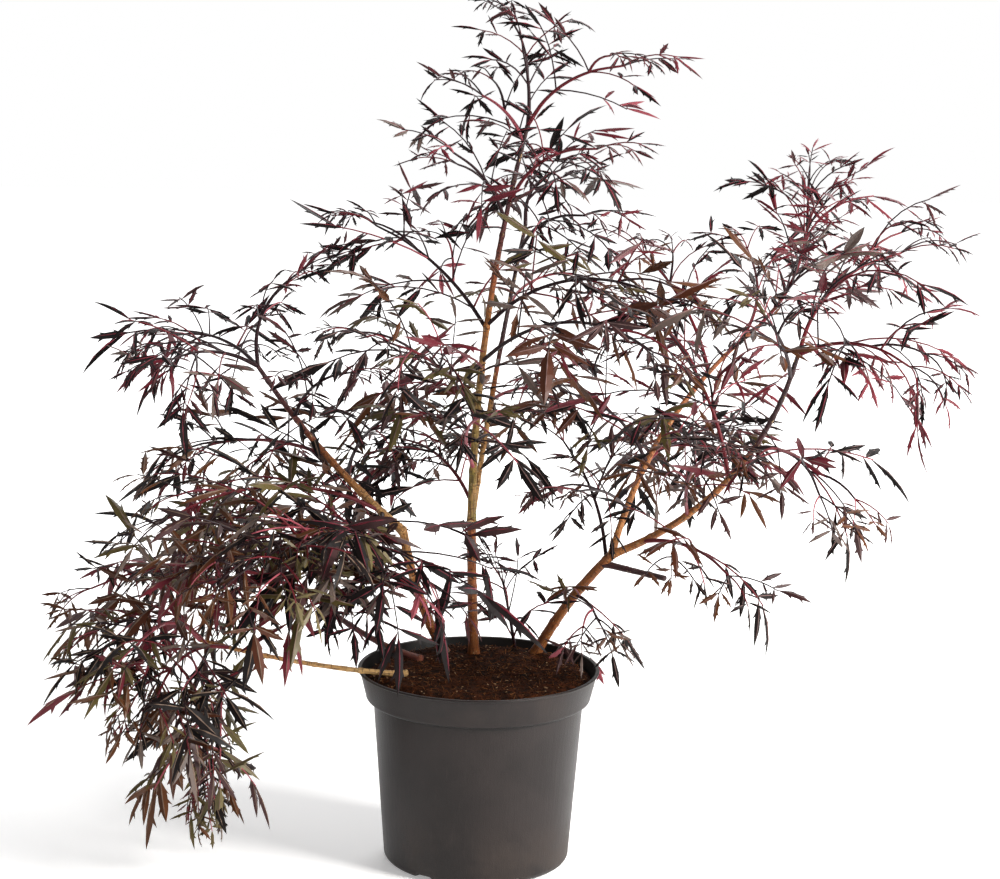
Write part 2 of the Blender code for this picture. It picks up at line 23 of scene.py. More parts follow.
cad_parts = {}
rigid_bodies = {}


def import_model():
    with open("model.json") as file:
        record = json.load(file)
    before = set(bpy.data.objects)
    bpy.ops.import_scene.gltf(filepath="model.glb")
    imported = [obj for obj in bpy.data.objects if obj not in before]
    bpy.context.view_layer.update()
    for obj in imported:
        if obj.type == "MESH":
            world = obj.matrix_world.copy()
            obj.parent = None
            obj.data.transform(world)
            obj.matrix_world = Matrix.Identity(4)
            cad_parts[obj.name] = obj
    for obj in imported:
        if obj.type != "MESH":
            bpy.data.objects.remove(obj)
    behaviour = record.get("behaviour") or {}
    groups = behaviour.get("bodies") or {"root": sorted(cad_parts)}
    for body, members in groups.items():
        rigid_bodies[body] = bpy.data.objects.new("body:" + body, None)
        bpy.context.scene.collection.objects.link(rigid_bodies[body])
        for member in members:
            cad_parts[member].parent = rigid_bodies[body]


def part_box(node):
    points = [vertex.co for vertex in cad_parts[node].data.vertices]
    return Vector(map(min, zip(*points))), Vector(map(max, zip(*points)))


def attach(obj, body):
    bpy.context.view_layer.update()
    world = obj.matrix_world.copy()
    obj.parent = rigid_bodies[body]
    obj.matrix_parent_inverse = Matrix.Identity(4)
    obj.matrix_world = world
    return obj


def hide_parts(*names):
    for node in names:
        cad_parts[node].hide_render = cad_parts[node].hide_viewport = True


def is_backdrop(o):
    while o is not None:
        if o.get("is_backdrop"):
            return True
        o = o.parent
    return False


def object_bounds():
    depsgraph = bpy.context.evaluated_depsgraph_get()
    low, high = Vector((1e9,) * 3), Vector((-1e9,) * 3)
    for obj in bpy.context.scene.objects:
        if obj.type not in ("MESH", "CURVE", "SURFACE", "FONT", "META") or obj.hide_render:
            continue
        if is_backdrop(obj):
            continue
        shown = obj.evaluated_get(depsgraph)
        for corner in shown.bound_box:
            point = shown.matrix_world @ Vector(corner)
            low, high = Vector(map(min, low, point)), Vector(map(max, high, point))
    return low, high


LOG = logging.getLogger("potted elder")

BODY = "root"
MOST_TRIANGLES = 190_000
SEED = 11
UP = Vector((0.0, 0.0, 1.0))
# The least length of a vector across another that still gives a direction
NEARLY_UPRIGHT = 0.05
# How far a tube's end point stands out, as a share of its radius there
TIP_SHARE = 0.5

Colour = tuple[float, float, float]
Pair = tuple[float, float]


def linear(red: float, green: float, blue: float) -> Colour:
    """The linear colour that shaders take, from one as a screen shows it, 0 to 255."""
    shares = (red / 255, green / 255, blue / 255)
    return tuple(s / 12.92 if s <= 0.04045 else ((s + 0.055) / 1.055) ** 2.4 for s in shares)


def declare(piece: bpy.types.Object, slot: str, *nodes: str) -> None:
    """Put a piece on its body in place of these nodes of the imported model, and log it."""
    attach(piece, BODY)
    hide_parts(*nodes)
    LOG.info("%s: %d faces", piece.name, len(piece.data.polygons))


# Centrelines


def course(start: Vector, heading: Pair, rise: Pair, length: float, steps: int) -> list[Vector]:
    """Work out a centreline whose heading and rise change evenly.

    Args:
        start: Its first point.
        heading: Compass heading at its start and end, in radians.
        rise: Rise above the horizon at its start and end, in radians.
        length: Its length.
        steps: How many straight steps make it.

    Returns:
        Its points, one more than its steps.
    """
    points = [Vector(start)]
    for step in range(steps):
        share = (step + 0.5) / steps
        turn = heading[0] + (heading[1] - heading[0]) * share
        lift = rise[0] + (rise[1] - rise[0]) * share
        flat = math.cos(lift)
        ahead = Vector((math.cos(turn) * flat, math.sin(turn) * flat, math.sin(lift)))
        points.append(points[-1] + ahead * (length / steps))
    return points


def along(points: Sequence[Vector], share: float) -> tuple[Vector, Vector]:
    """The point at this share of a centreline, and its direction there."""
    place = min(max(share, 0.0), 1.0) * (len(points) - 1)
    index = min(int(place), len(points) - 2)
    step = points[index + 1] - points[index]
    return points[index] + step * (place - index), step.normalized()


def smoothed(points: Sequence[Vector], steps: int) -> list[Vector]:
    """Read a curve of this many steps that runs smoothly through every point of a centreline."""
    guide = [points[0] * 2 - points[1], *points, points[-1] * 2 - points[-2]]
    curve = []
    for step in range(steps + 1):
        place = step / steps * (len(points) - 1)
        index = min(int(place), len(points) - 2)
        t = place - index
        a, b, c, d = guide[index : index + 4]
        bend = (b * 3 - a - c * 3 + d) * t**3 + (a * 2 - b * 5 + c * 4 - d) * t**2 + (c - a) * t
        curve.append(b + bend / 2)
    return curve


def level_beside(ahead: Vector) -> Vector:
    """The level direction at right angles to a heading."""
    level = ahead.cross(UP)
    return level.normalized() if level.length > NEARLY_UPRIGHT else ahead.orthogonal().normalized()


# Meshes


@dataclass
class Surface:
    """A mesh on its way to Blender: points, triangles, and numbers that go with the points."""

    points: np.ndarray
    triangles: np.ndarray
    marks: dict[str, np.ndarray] = field(default_factory=dict)

    @staticmethod
    def joined(parts: Sequence[Surface]) -> Surface:
        """Put several surfaces, which all have the same marks, into one."""
        starts = np.cumsum([0] + [len(part.points) for part in parts[:-1]])
        points = np.concatenate([part.points for part in parts])
        triangles = np.concatenate([part.triangles + start for part, start in zip(parts, starts)])
        marks = {name: np.concatenate([part.marks[name] for part in parts]) for name in parts[0].marks}
        return Surface(points, triangles, marks)

    def made(self, name: str, material: bpy.types.Material, smooth: bool = True) -> bpy.types.Object:
        """Make the Blender object, at the origin.

        Args:
            name: The object's name.
            material: Its one material.
            smooth: Whether its faces are shaded as one surface.

        Returns:
            The object.
        """
        mesh = bpy.data.meshes.new(name)
        mesh.vertices.add(len(self.points))
        mesh.vertices.foreach_set("co", self.points.astype(np.float32).ravel())
        mesh.loops.add(self.triangles.size)
        mesh.loops.foreach_set("vertex_index", self.triangles.astype(np.int32).ravel())
        mesh.polygons.add(len(self.triangles))
        mesh.polygons.foreach_set("loop_start", np.arange(0, self.triangles.size, 3, dtype=np.int32))
        mesh.update(calc_edges=True)
        for mark, values in self.marks.items():
            kind, slot = ("FLOAT_VECTOR", "vector") if values.ndim == 2 else ("FLOAT", "value")
            layer = mesh.attributes.new(mark, kind, "POINT")
            layer.data.foreach_set(slot, values.astype(np.float32).ravel())
        if smooth:
            mesh.shade_smooth()
        else:
            mesh.shade_flat()
        mesh.materials.append(material)
        return shown(name, mesh)


def shown(name: str, data: bpy.types.ID) -> bpy.types.Object:
    """Put an object with this mesh, camera or light into the scene."""
    obj = bpy.data.objects.new(name, data)
    bpy.context.scene.collection.objects.link(obj)
    return obj


def round_angles(count: int) -> np.ndarray:
    """Angles in radians that are spaced evenly round a circle."""
    return np.arange(count) * (2 * math.pi / count)


def stacked(rings: np.ndarray, ends: np.ndarray) -> Surface:
    """Close a stack of rings with a fan of triangles to the point at each of its ends.

    Args:
        rings: The points of the rings, by ring, place round it and axis.
        ends: The points of its first and its last end.

    Returns:
        The closed surface, with the two ends as its last points.
    """
    sides = rings.shape[1]
    count = len(rings) * sides
    low = np.arange(count - sides)
    after = (low // sides) * sides + (low + 1) % sides
    rim = np.arange(sides)
    following = (rim + 1) % sides
    corners = (
        (low, after, after + sides),
        (low, after + sides, low + sides),
        (np.full(sides, count), following, rim),
        (np.full(sides, count + 1), rim + count - sides, following + count - sides),
    )
    triangles = np.concatenate([np.stack(three, 1) for three in corners])
    return Surface(np.concatenate([rings.reshape(-1, 3), ends]), triangles)


def tube(points: Sequence[Vector], radii: np.ndarray, sides: int) -> Surface:
    """Make a closed tube with a point at each end.

    Args:
        points: Its centreline.
        radii: Its radius at each point of the centreline, or at each side of each point.
        sides: How many sides it has.

    Returns:
        The tube, with its mark "grain": where a point lies round the tube, and how far along it.
    """
    centre = np.array([tuple(point) for point in points])
    steps = np.diff(centre, axis=0)
    lengths = np.linalg.norm(steps, axis=1)
    steps = steps / lengths[:, None]
    ahead = np.vstack([steps[:1], steps[1:] + steps[:-1], steps[-1:]])
    ahead /= np.linalg.norm(ahead, axis=1)[:, None]
    side = np.array(tuple(Vector(ahead[0]).orthogonal().normalized()))
    spokes = np.empty_like(centre)
    for index, heading in enumerate(ahead):
        side = side - heading * side.dot(heading)
        side = side / math.sqrt(side.dot(side))
        spokes[index] = side
    across = np.cross(ahead, spokes)
    reach = np.asarray(radii).reshape(len(centre), -1)
    cosine, sine = np.cos(round_angles(sides)), np.sin(round_angles(sides))
    round_it = cosine[None, :, None] * spokes[:, None] + sine[None, :, None] * across[:, None]
    distance = np.concatenate([[0.0], np.cumsum(lengths)])
    tips = reach[[0, -1]].mean(axis=1)[:, None] * np.array([[-TIP_SHARE], [TIP_SHARE]])
    rings = centre[:, None] + round_it * reach[:, :, None]
    surface = stacked(rings, centre[[0, -1]] + ahead[[0, -1]] * tips)
    far = np.repeat(distance[:, None], sides, axis=1)
    grain = np.stack([cosine * reach, sine * reach, far], 2).reshape(-1, 3)
    surface.marks["grain"] = np.concatenate([grain, [[0, 0, distance[0]], [0, 0, distance[-1]]]])
    return surface


def lathe(profile: Sequence[Pair], segments: int) -> Surface:
    """Turn an outline round Z.

    Args:
        profile: (radius, height) points that start and end on the axis, in the order that faces out.
        segments: How many steps go round.

    Returns:
        The closed surface.
    """
    radius, height = np.array(profile[1:-1]).T[:, :, None]
    angles = round_angles(segments)
    rings = np.stack([radius * np.cos(angles), radius * np.sin(angles), height + 0 * angles], 2)
    return stacked(rings, np.array([[0, 0, profile[0][1]], [0, 0, profile[-1][1]]]))


def arc(centre: Pair, size: float, start: float, end: float, steps: int) -> list[Pair]:
    """Points of a circular arc between two angles in degrees, both ends included."""
    angles = (math.radians(start + (end - start) * step / steps) for step in range(steps + 1))
    return [(centre[0] + size * math.cos(a), centre[1] + size * math.sin(a)) for a in angles]


def run(start: Pair, end: Pair, steps: int) -> list[Pair]:
    """Even steps of a straight line, without its start."""
    shares = [step / steps for step in range(1, steps + 1)]
    return [(start[0] + (end[0] - start[0]) * s, start[1] + (end[1] - start[1]) * s) for s in shares]


# Node trees and shader maths


def operator(operation: str, swapped: bool = False) -> Callable[[Signal, object], Signal]:
    """Make a method that feeds this and another value, in this order or swapped, to a Math node."""

    def method(this: Signal, other: object) -> Signal:
        first, second = (other, this) if swapped else (this, other)
        return this.tree.node("ShaderNodeMath", {"operation": operation}, {0: first, 1: second})

    return method


@dataclass(frozen=True)
class Signal:
    """A value on its way through a node tree, with its arithmetic written as Python."""

    tree: Tree
    socket: bpy.types.NodeSocket

    __add__ = operator("ADD")
    __radd__ = operator("ADD", swapped=True)
    __sub__ = operator("SUBTRACT")
    __rsub__ = operator("SUBTRACT", swapped=True)
    __mul__ = operator("MULTIPLY")

    def ramped(self, low: float, high: float) -> Signal:
        """Nought up to low, one from high, and smooth between them."""
        settings = {"interpolation_type": "SMOOTHSTEP", "clamp": True}
        return self.tree.node("ShaderNodeMapRange", settings, {0: self, 1: low, 2: high})

    def between(self, low: object, high: object) -> Signal:
        """The colour this far from the low one to the high one."""
        settings = {"data_type": "RGBA", "clamp_factor": True}
        return self.tree.node("ShaderNodeMix", settings, {0: self, 6: low, 7: high}, 2)


class Tree:
    """A node tree under construction."""

    def __init__(self, tree: bpy.types.NodeTree) -> None:
        """Keep the tree."""
        self.tree = tree

    def node(
        self, kind: str, settings: dict[str, object], inputs: dict[object, object], output: object = 0
    ) -> Signal:
        """Add any node.

        Args:
            kind: The node's type.
            settings: Its own settings, or the stops of its colour ramp, which are set first.
            inputs: The value or the link of each socket, by name or place.
            output: The name or place of the output that is wanted.

        Returns:
            That output.
        """
        node = self.tree.nodes.new(kind)
        for name, value in settings.items():
            if name == "stops":
                self.set_stops(node.color_ramp, value)
            else:
                setattr(node, name, value)
        for key, value in inputs.items():
            self.feed(node.inputs[key], value)
        return Signal(self, node.outputs[output])

    def feed(self, socket: bpy.types.NodeSocket, value: object) -> None:
        """Link a signal to a socket, or set the socket to a plain value."""
        if isinstance(value, Signal):
            self.tree.links.new(value.socket, socket)
        elif socket.type == "RGBA":
            socket.default_value = (*value, 1.0)
        else:
            socket.default_value = value

    def set_stops(self, ramp: bpy.types.ColorRamp, stops: Sequence[tuple[float, Colour]]) -> None:
        """Give a colour ramp these places and colours."""
        while len(ramp.elements) < len(stops):
            ramp.elements.new(0.5)
        for element, (place, colour) in zip(ramp.elements, stops):
            element.position = place
            element.color = (*colour, 1.0)


class Finish(Tree):
    """A material under construction, which starts as one Principled shader."""

    def __init__(self, name: str) -> None:
        """Make the material."""
        self.material = bpy.data.materials.new(name)
        self.material.use_nodes = True
        super().__init__(self.material.node_tree)

    def place(self) -> Signal:
        """Object coordinates."""
        return self.node("ShaderNodeTexCoord", {}, {}, "Object")

    def mark(self, name: str, output: str = "Fac") -> Signal:
        """An attribute of the mesh, as a number or a vector."""
        return self.node("ShaderNodeAttribute", {"attribute_name": name}, {}, output)

    def mottle(
        self, where: Signal, scale: float | Colour, detail: float = 4.0, rough: float = 0.55
    ) -> Signal:
        """Soft noise from about nought to one, with one scale or one for each axis."""
        if isinstance(scale, tuple):
            where = self.node("ShaderNodeVectorMath", {"operation": "MULTIPLY"}, {0: where, 1: scale})
            scale = 1.0
        inputs = {"Vector": where, "Scale": scale, "Detail": detail, "Roughness": rough}
        return self.node("ShaderNodeTexNoise", {}, inputs)

    def layered(self, colour: object, *layers: tuple[Signal, Colour]) -> Signal:
        """A colour under layers of other colours, each as strong as its signal."""
        for strength, layer in layers:
            colour = strength.between(colour, layer)
        return colour

    def relief(self, height: Signal, depth: float) -> Signal:
        """A normal bent by a height, where one unit of height stands for this depth."""
        return self.node("ShaderNodeBump", {}, {"Height": height, "Distance": depth})

    def finished(self, **sockets: object) -> bpy.types.Material:
        """Feed the shader's sockets, named with _ for a space, and return the material."""
        shader = self.tree.nodes["Principled BSDF"]
        for name, value in sockets.items():
            self.feed(shader.inputs[name.replace("_", " ")], value)
        return self.material


@dataclass(frozen=True)
class PlainFinish:
    """One plain colour with a soft sheen.

    shares say how often it comes up among the leaves or stalks of each Tone, in the order of the tones.
    """

    name: str
    colour: Colour
    shares: tuple[int, ...] = ()
    slot: str = "purple_foliage"
    roughness: float = 0.42
    shine: float = 0.19

    def material(self) -> bpy.types.Material:
        """The material."""
        return Finish(self.name).finished(
            Base_Color=self.colour, Roughness=self.roughness, Specular_IOR_Level=self.shine
        )


@dataclass(frozen=True)
class BarkFinish:
    """Bark that goes from ochre and orange-brown where it is old to crimson and purple where it is young."""

    stops: tuple[tuple[float, Colour], ...] = (
        (0.0, linear(184, 146, 90)),
        (0.22, linear(162, 102, 46)),
        (0.45, linear(138, 68, 30)),
        (0.62, linear(92, 38, 32)),
        (0.78, linear(66, 20, 27)),
        (1.0, linear(42, 16, 22)),
    )
    pore: Colour = linear(205, 170, 120)
    grey: Colour = linear(120, 100, 84)
    olive: Colour = linear(124, 112, 46)
    crack: Colour = linear(58, 32, 24)

    def material(self) -> bpy.types.Material:
        """The material, coloured by the marks "age", "pore" and "green" of the limb."""
        finish = Finish("elder_bark")
        grain = finish.mark("grain", "Vector")
        streaks = finish.mottle(grain, (900.0, 900.0, 60.0))
        bands = finish.mottle(grain, (200.0, 200.0, 1100.0))
        blotches = finish.mottle(grain, (160.0, 160.0, 45.0))
        fine = finish.mottle(grain, (2600.0, 2600.0, 700.0), 2.0)
        age = finish.mark("age") + (blotches - 0.5) * 0.30 + (streaks - 0.5) * 0.16
        pore = finish.mark("pore").ramped(0.25, 0.7)
        colour = finish.layered(
            finish.node("ShaderNodeValToRGB", {"stops": self.stops}, {0: age}),
            (finish.mark("green") * blotches.ramped(0.3, 0.6), self.olive),
            (streaks.ramped(0.56, 0.74) * 0.35, self.grey),
            ((1.0 - streaks).ramped(0.50, 0.64) * 0.65, self.crack),
            (bands.ramped(0.53, 0.66) * 0.60, self.crack),
            (pore * 0.75, self.pore),
        )
        height = streaks * 0.6 + fine * 0.25 + pore * 0.5 - bands.ramped(0.52, 0.68) * 0.4
        return finish.finished(
            Base_Color=colour,
            Roughness=0.42 + streaks * 0.22,
            Normal=finish.relief(height, 0.0016),
            Specular_IOR_Level=0.4,
        )


@dataclass(frozen=True)
class PotFinish:
    """Mid-grey moulded plastic, a little scuffed and dusty, with painted shade inside and under its collar.
    """

    body: Colour = linear(26, 20, 19)
    pale: Colour = linear(48, 40, 38)
    dust: Colour = linear(72, 60, 51)
    # The colour of the painted shade inside the pot and under the collar's ledge
    inner: Colour = linear(12, 9, 8)

    def material(self, lip: float) -> bpy.types.Material:
        """The material, on Object coordinates, with painted shade by the mark "inside"; lip is the lip's
        height.
        """
        finish = Finish("pot_plastic_grey")
        where = finish.place()
        height = finish.node("ShaderNodeSeparateXYZ", {}, {0: where}, "Z")
        clouds = finish.mottle(where, 14.0, 5.0)
        scuffs = finish.mottle(where, (260.0, 260.0, 16.0), 3.0, 0.6)
        grains = finish.mottle(where, 900.0, 3.0, 0.6)
        specks = finish.node("ShaderNodeTexVoronoi", {}, {"Vector": where, "Scale": 260.0})
        near_foot = 1.0 - height.ramped(0.0, 0.07)
        near_lip = height.ramped(lip - 0.035, lip)
        dusty = clouds.ramped(0.42, 0.66) * (near_foot * 0.30 + near_lip * 0.18)
        colour = finish.layered(
            self.body,
            (clouds.ramped(0.35, 0.7) * 0.35, self.pale),
            (scuffs.ramped(0.60, 0.78) * 0.30, self.pale),
            (dusty + (1.0 - specks.ramped(0.05, 0.12)) * near_lip * 0.35, self.dust),
            # Painted shade: the mark "inside" darkens the pot's inside and the underside of the collar's
            # ledge
            (finish.mark("inside"), self.inner),
        )
        relief = finish.relief(grains * 0.35 + scuffs * 0.3 + clouds * 0.8, 0.0004)
        return finish.finished(
            Base_Color=colour,
            Roughness=0.36 + clouds * 0.16 + dusty * 0.5,
            Normal=relief,
            Specular_IOR_Level=0.28,
        )


@dataclass(frozen=True)
class CompostFinish:
    """Dark, damp, fibrous compost."""

    dark: Colour = linear(20, 10, 6)
    brown: Colour = linear(66, 33, 15)
    tan: Colour = linear(108, 66, 34)

    def material(self) -> bpy.types.Material:
        """The material, on Object coordinates."""
        finish = Finish("compost_fibrous")
        where = finish.place()
        lumps = finish.mottle(where, 130.0, 6.0, 0.65)
        fibres = finish.mottle(where, (900.0, 260.0, 500.0), 4.0, 0.6)
        layers = ((lumps.ramped(0.36, 0.68), self.brown), (fibres.ramped(0.58, 0.74) * 0.7, self.tan))
        colour = finish.layered(self.dark, *layers)
        relief = finish.relief(lumps + fibres * 0.6, 0.002)
        return finish.finished(
            Base_Color=colour, Roughness=0.78 + lumps * 0.2, Normal=relief, Specular_IOR_Level=0.05
        )


# Stems, boughs and shoots, as in the part's source


class Age(Enum):
    """How old the leaves of a shoot are, which sets their cut and their habit."""

    YOUNG = "young"
    GROWN = "grown"
    OLD = "old"


class Tone(Enum):
    """Which colours the leaves of a shoot have, numbered as in the shares of a PlainFinish."""

    WINE = 0
    DARK = 1
    MIXED = 2
    BROWN = 3


# The distance between pairs of leaves
DENSE = 0.019
FULL = 0.025
USUAL = 0.034
SPARSE = 0.050
THIN = 0.072

# How the names end of the shoots of each age and tone
YOUNG_SHOOTS = ("right_red", "right_outer_tip", "right_top", "right_outer_up", "right_crest")
OLD_SHOOTS = ("_low", "_lower", "_drop", "_hanging", "_front", "_far", "_rear", "left_heart", "_outer")
WINE_SHOOTS = (*YOUNG_SHOOTS, "right_left_spray", "upper_right", "top_right")
DARK_LEFT = ("left_tip", "left_upright", "left_red", "left_inner_top", "arch_left_high", "left_hanging")
DARK_SHOOTS = (*DARK_LEFT, "leader_tip", "top_left", "upper_left", "second_tip", "second_side", "sprout")
BROWN_SHOOTS = ("left_heart", "_drop", "_far", "_rear", "_lower", "_crest", "trailing_outer", "trailing_tip")


@dataclass(frozen=True)
class Stem:
    """A limb's or shoot's way from its parent, with heading and rise in degrees at its start and end."""

    name: str
    parent: str
    at: float
    heading: Pair
    rise: Pair
    length: float


@dataclass(frozen=True)
class Limb(Stem):
    """A stem or bough: radius is the one at its start and end.

    age runs from 0, old ochre bark, to 1, young purple bark, at its start and end, and turns are the
    shares of its length between which the bark goes from one to the other.
    """

    radius: Pair
    age: Pair
    turns: Pair = (0.1, 1.1)


@dataclass(frozen=True)
class Shoot(Stem):
    """A leafy shoot, which stands for one mass of foliage.

    pitch is the distance between its pairs of leaves, and size how large they are for their age.
    """

    pitch: float = USUAL
    size: float = 1.0

    @property
    def age(self) -> Age:
        """The age of its leaves."""
        if self.name.endswith(YOUNG_SHOOTS):
            return Age.YOUNG
        return Age.OLD if self.name.endswith(OLD_SHOOTS) else Age.GROWN

    @property
    def tone(self) -> Tone:
        """The colours of its leaves."""
        if self.name.endswith(WINE_SHOOTS):
            return Tone.WINE
        if self.name.endswith(DARK_SHOOTS):
            return Tone.DARK
        return Tone.BROWN if self.name.endswith(BROWN_SHOOTS) else Tone.MIXED


# The stem with the old pruning cut, and the bough that is olive for a stretch just above it
CUT_STEM = "stem_centre"
GREEN_LIMB = "leader"

# Where the stems that have no parent stand in the compost
BASES: dict[str, Pair] = {
    "stem_centre": (-0.005, 0.062),
    "stem_right": (0.055, 0.066),
    "stem_left": (-0.034, 0.062),
    "stem_left_low": (-0.062, 0.036),
    "stem_trailing": (-0.074, -0.022),
    "foliage_sprout": (0.034, 0.085),
}

LIMBS = (
    Limb("stem_centre", "", 0, (-100, -95), (75, 80), 0.135, (0.0049, 0.0042), (0.36, 0.36)),
    Limb("leader", "stem_centre", 1, (0, 0), (90, 76), 0.375, (0.0040, 0.0018), (0.12, 1.0), (0.35, 1.0)),
    Limb(
        "leader_second", "stem_centre", 1, (60, 55), (75, 70), 0.285,
        (0.0028, 0.0017), (0.10, 1.0), (0.36, 0.68),
    ),
    Limb("stem_right", "", 0, (-35, -35), (60, 45), 0.135, (0.0050, 0.0042), (0.32, 0.30)),
    Limb(
        "bough_right_outer", "stem_right", 1, (-20, -55), (25, 70), 0.29,
        (0.0037, 0.0020), (0.26, 0.95), (0.50, 0.78),
    ),
    Limb("bough_right_inner", "stem_right", 1, (60, 20), (60, 35), 0.275, (0.0033, 0.0018), (0.25, 0.45)),
    Limb("bough_right_stub", "stem_right", 0.90, (-30, -45), (-5, 0), 0.070, (0.0031, 0.0027), (0.9, 1.0)),
    Limb("stem_left", "", 0, (-120, -100), (50, 55), 0.175, (0.0048, 0.0040), (0.38, 0.12)),
    Limb("bough_left", "stem_left", 1, (175, 170), (40, 55), 0.20, (0.0039, 0.0020), (0.10, 0.90)),
    Limb("stem_left_low", "", 0, (150, 150), (10, 30), 0.11, (0.0034, 0.0023), (0.55, 0.9)),
    Limb("stem_trailing", "", 0, (-155, -155), (10, 20), 0.20, (0.0025, 0.0017), (0.0, 0.25)),
)

SHOOTS = (
    Shoot("foliage_leader_tip", "leader", 1, (180, 180), (95, 75), 0.07),
    Shoot("foliage_top_right", "leader", 1, (-50, -20), (55, 5), 0.12, THIN),
    Shoot("foliage_top_left", "leader", 0.96, (150, 155), (65, 20), 0.06, SPARSE),
    Shoot("foliage_upper_left", "leader", 0.76, (-120, -140), (60, 25), 0.10, SPARSE),
    Shoot("foliage_upper_right", "leader", 0.81, (-60, -45), (50, 0), 0.14, THIN),
    Shoot("foliage_second_tip", "leader_second", 1, (95, 40), (45, 10), 0.10, FULL),
    Shoot("foliage_second_side", "leader_second", 0.92, (-65, -45), (45, 0), 0.11, SPARSE),
    Shoot("foliage_arch_left_high", "leader", 0.49, (140, 145), (50, 15), 0.16),
    Shoot("foliage_arch_left_mid", "leader", 0.26, (-110, -125), (45, 15), 0.19),
    Shoot("foliage_arch_right_high", "leader", 0.50, (-35, -40), (45, -20), 0.21, SPARSE),
    Shoot("foliage_arch_right_low", "leader", 0.41, (-55, -60), (35, -15), 0.28, THIN),
    Shoot("foliage_centre_back", "leader_second", 0.73, (80, 65), (10, -5), 0.18, THIN, 0.75),
    Shoot("foliage_centre_low", "leader_second", 0.41, (75, 65), (0, -10), 0.18, THIN),
    Shoot("foliage_centre_left", "leader", 0.05, (110, 125), (30, -5), 0.16, FULL),
    Shoot("foliage_centre_front", "leader", 0.14, (-105, -60), (40, 10), 0.20, THIN),
    Shoot("foliage_left_tip", "bough_left", 1, (-135, -125), (30, -10), 0.11),
    Shoot("foliage_left_upright", "bough_left", 1, (110, 20), (55, 30), 0.12, THIN),
    Shoot("foliage_left_red", "bough_left", 1, (115, 135), (15, -5), 0.15, SPARSE),
    Shoot("foliage_left_inner_top", "bough_left", 0.72, (-65, -45), (50, 10), 0.11, THIN, 0.85),
    Shoot("foliage_left_bow", "bough_left", 0.36, (85, 55), (25, -5), 0.19, SPARSE),
    Shoot("foliage_left_shoulder", "bough_left", 0.49, (130, 130), (5, -20), 0.21, SPARSE),
    Shoot("foliage_left_crest", "bough_left", 0.14, (-160, -150), (30, -25), 0.21),
    Shoot("foliage_left_hanging", "bough_left", 0.13, (-85, -90), (-15, -10), 0.12, FULL, 1.2),
    Shoot("foliage_left_heart", "stem_left", 0.81, (-130, -130), (35, -25), 0.25, DENSE),
    Shoot("foliage_left_rear", "stem_left", 0.70, (130, 145), (15, -30), 0.36, SPARSE),
    Shoot("foliage_left_far", "stem_left_low", 1, (-175, -170), (35, -25), 0.23),
    Shoot("foliage_left_lower", "stem_left_low", 0.78, (125, 140), (25, -50), 0.24, SPARSE),
    Shoot("foliage_trailing_tip", "stem_trailing", 1, (-150, -130), (60, -55), 0.08, DENSE),
    Shoot("foliage_trailing_drop", "stem_trailing", 0.67, (170, 165), (-25, -100), 0.13, FULL),
    Shoot("foliage_trailing_outer", "stem_trailing", 0.86, (-130, -105), (20, -40), 0.12, DENSE),
    Shoot("foliage_right_inner_low", "stem_right", 0.94, (95, 130), (50, 35), 0.14, THIN),
    Shoot("foliage_fork_left", "bough_right_inner", 0.35, (-135, -145), (60, 15), 0.13, SPARSE),
    Shoot("foliage_fork_right", "bough_right_inner", 0.35, (75, 60), (5, -5), 0.19, DENSE),
    Shoot("foliage_fork_droop", "bough_right_inner", 0.17, (-110, -115), (30, 5), 0.14, THIN, 0.85),
    Shoot("foliage_right_red", "bough_right_outer", 0.50, (125, 155), (75, 40), 0.17),
    Shoot("foliage_right_crest", "bough_right_inner", 0.75, (110, 135), (55, 30), 0.15, THIN),
    Shoot("foliage_right_shelf", "bough_right_outer", 0.30, (-100, -75), (35, 20), 0.21, THIN, 0.85),
    Shoot("foliage_right_low_droop", "bough_right_outer", 0.12, (-55, -70), (15, -15), 0.15, THIN, 1.15),
    Shoot("foliage_right_arch_low", "bough_right_outer", 0.64, (-60, -85), (15, -25), 0.15, SPARSE),
    Shoot("foliage_right_outer_tip", "bough_right_outer", 1, (-40, -50), (30, -25), 0.125),
    Shoot("foliage_right_outer_up", "bough_right_outer", 1, (15, 5), (80, 10), 0.135),
    Shoot("foliage_right_top", "bough_right_inner", 1, (20, 40), (40, 95), 0.135, DENSE, 0.95),
    Shoot("foliage_right_left_spray", "bough_right_inner", 0.90, (60, 105), (25, 30), 0.16, THIN),
    Shoot("foliage_right_heart", "bough_right_outer", 0.92, (-100, -125), (40, 35), 0.11),
    Shoot("foliage_stem_right_low", "stem_right", 0.56, (-60, -85), (0, -15), 0.06, SPARSE, 0.9),
    Shoot("foliage_sprout", "", 0, (-150, -150), (80, 75), 0.06, FULL, 0.85),
)


@dataclass
class Skeleton:
    """The centrelines of every limb and shoot, worked out as the part's source does."""

    soil_level: float
    limb_step: float = 0.028
    shoot_step: float = 0.035
    fewest_steps: int = 4
    foot_depth: float = 0.008
    courses: dict[str, list[Vector]] = field(default_factory=dict)

    def trace(self, limb: Stem, step: float) -> None:
        """Work out and keep one centreline, whose parent's is known."""
        if limb.parent:
            start = along(self.courses[limb.parent], limb.at)[0]
        else:
            start = Vector((*BASES[limb.name], self.soil_level))
        steps = max(self.fewest_steps, round(limb.length / step))
        heading, rise = (tuple(math.radians(a) for a in pair) for pair in (limb.heading, limb.rise))
        points = course(start, heading, rise, limb.length, steps)
        if not limb.parent:
            points[0] = points[0] - (points[1] - points[0]).normalized() * self.foot_depth
        self.courses[limb.name] = points

    def trace_all(self) -> None:
        """Work out every centreline, limbs first."""
        for limb in LIMBS:
            self.trace(limb, self.limb_step)
        for shoot in SHOOTS:
            self.trace(shoot, self.shoot_step)


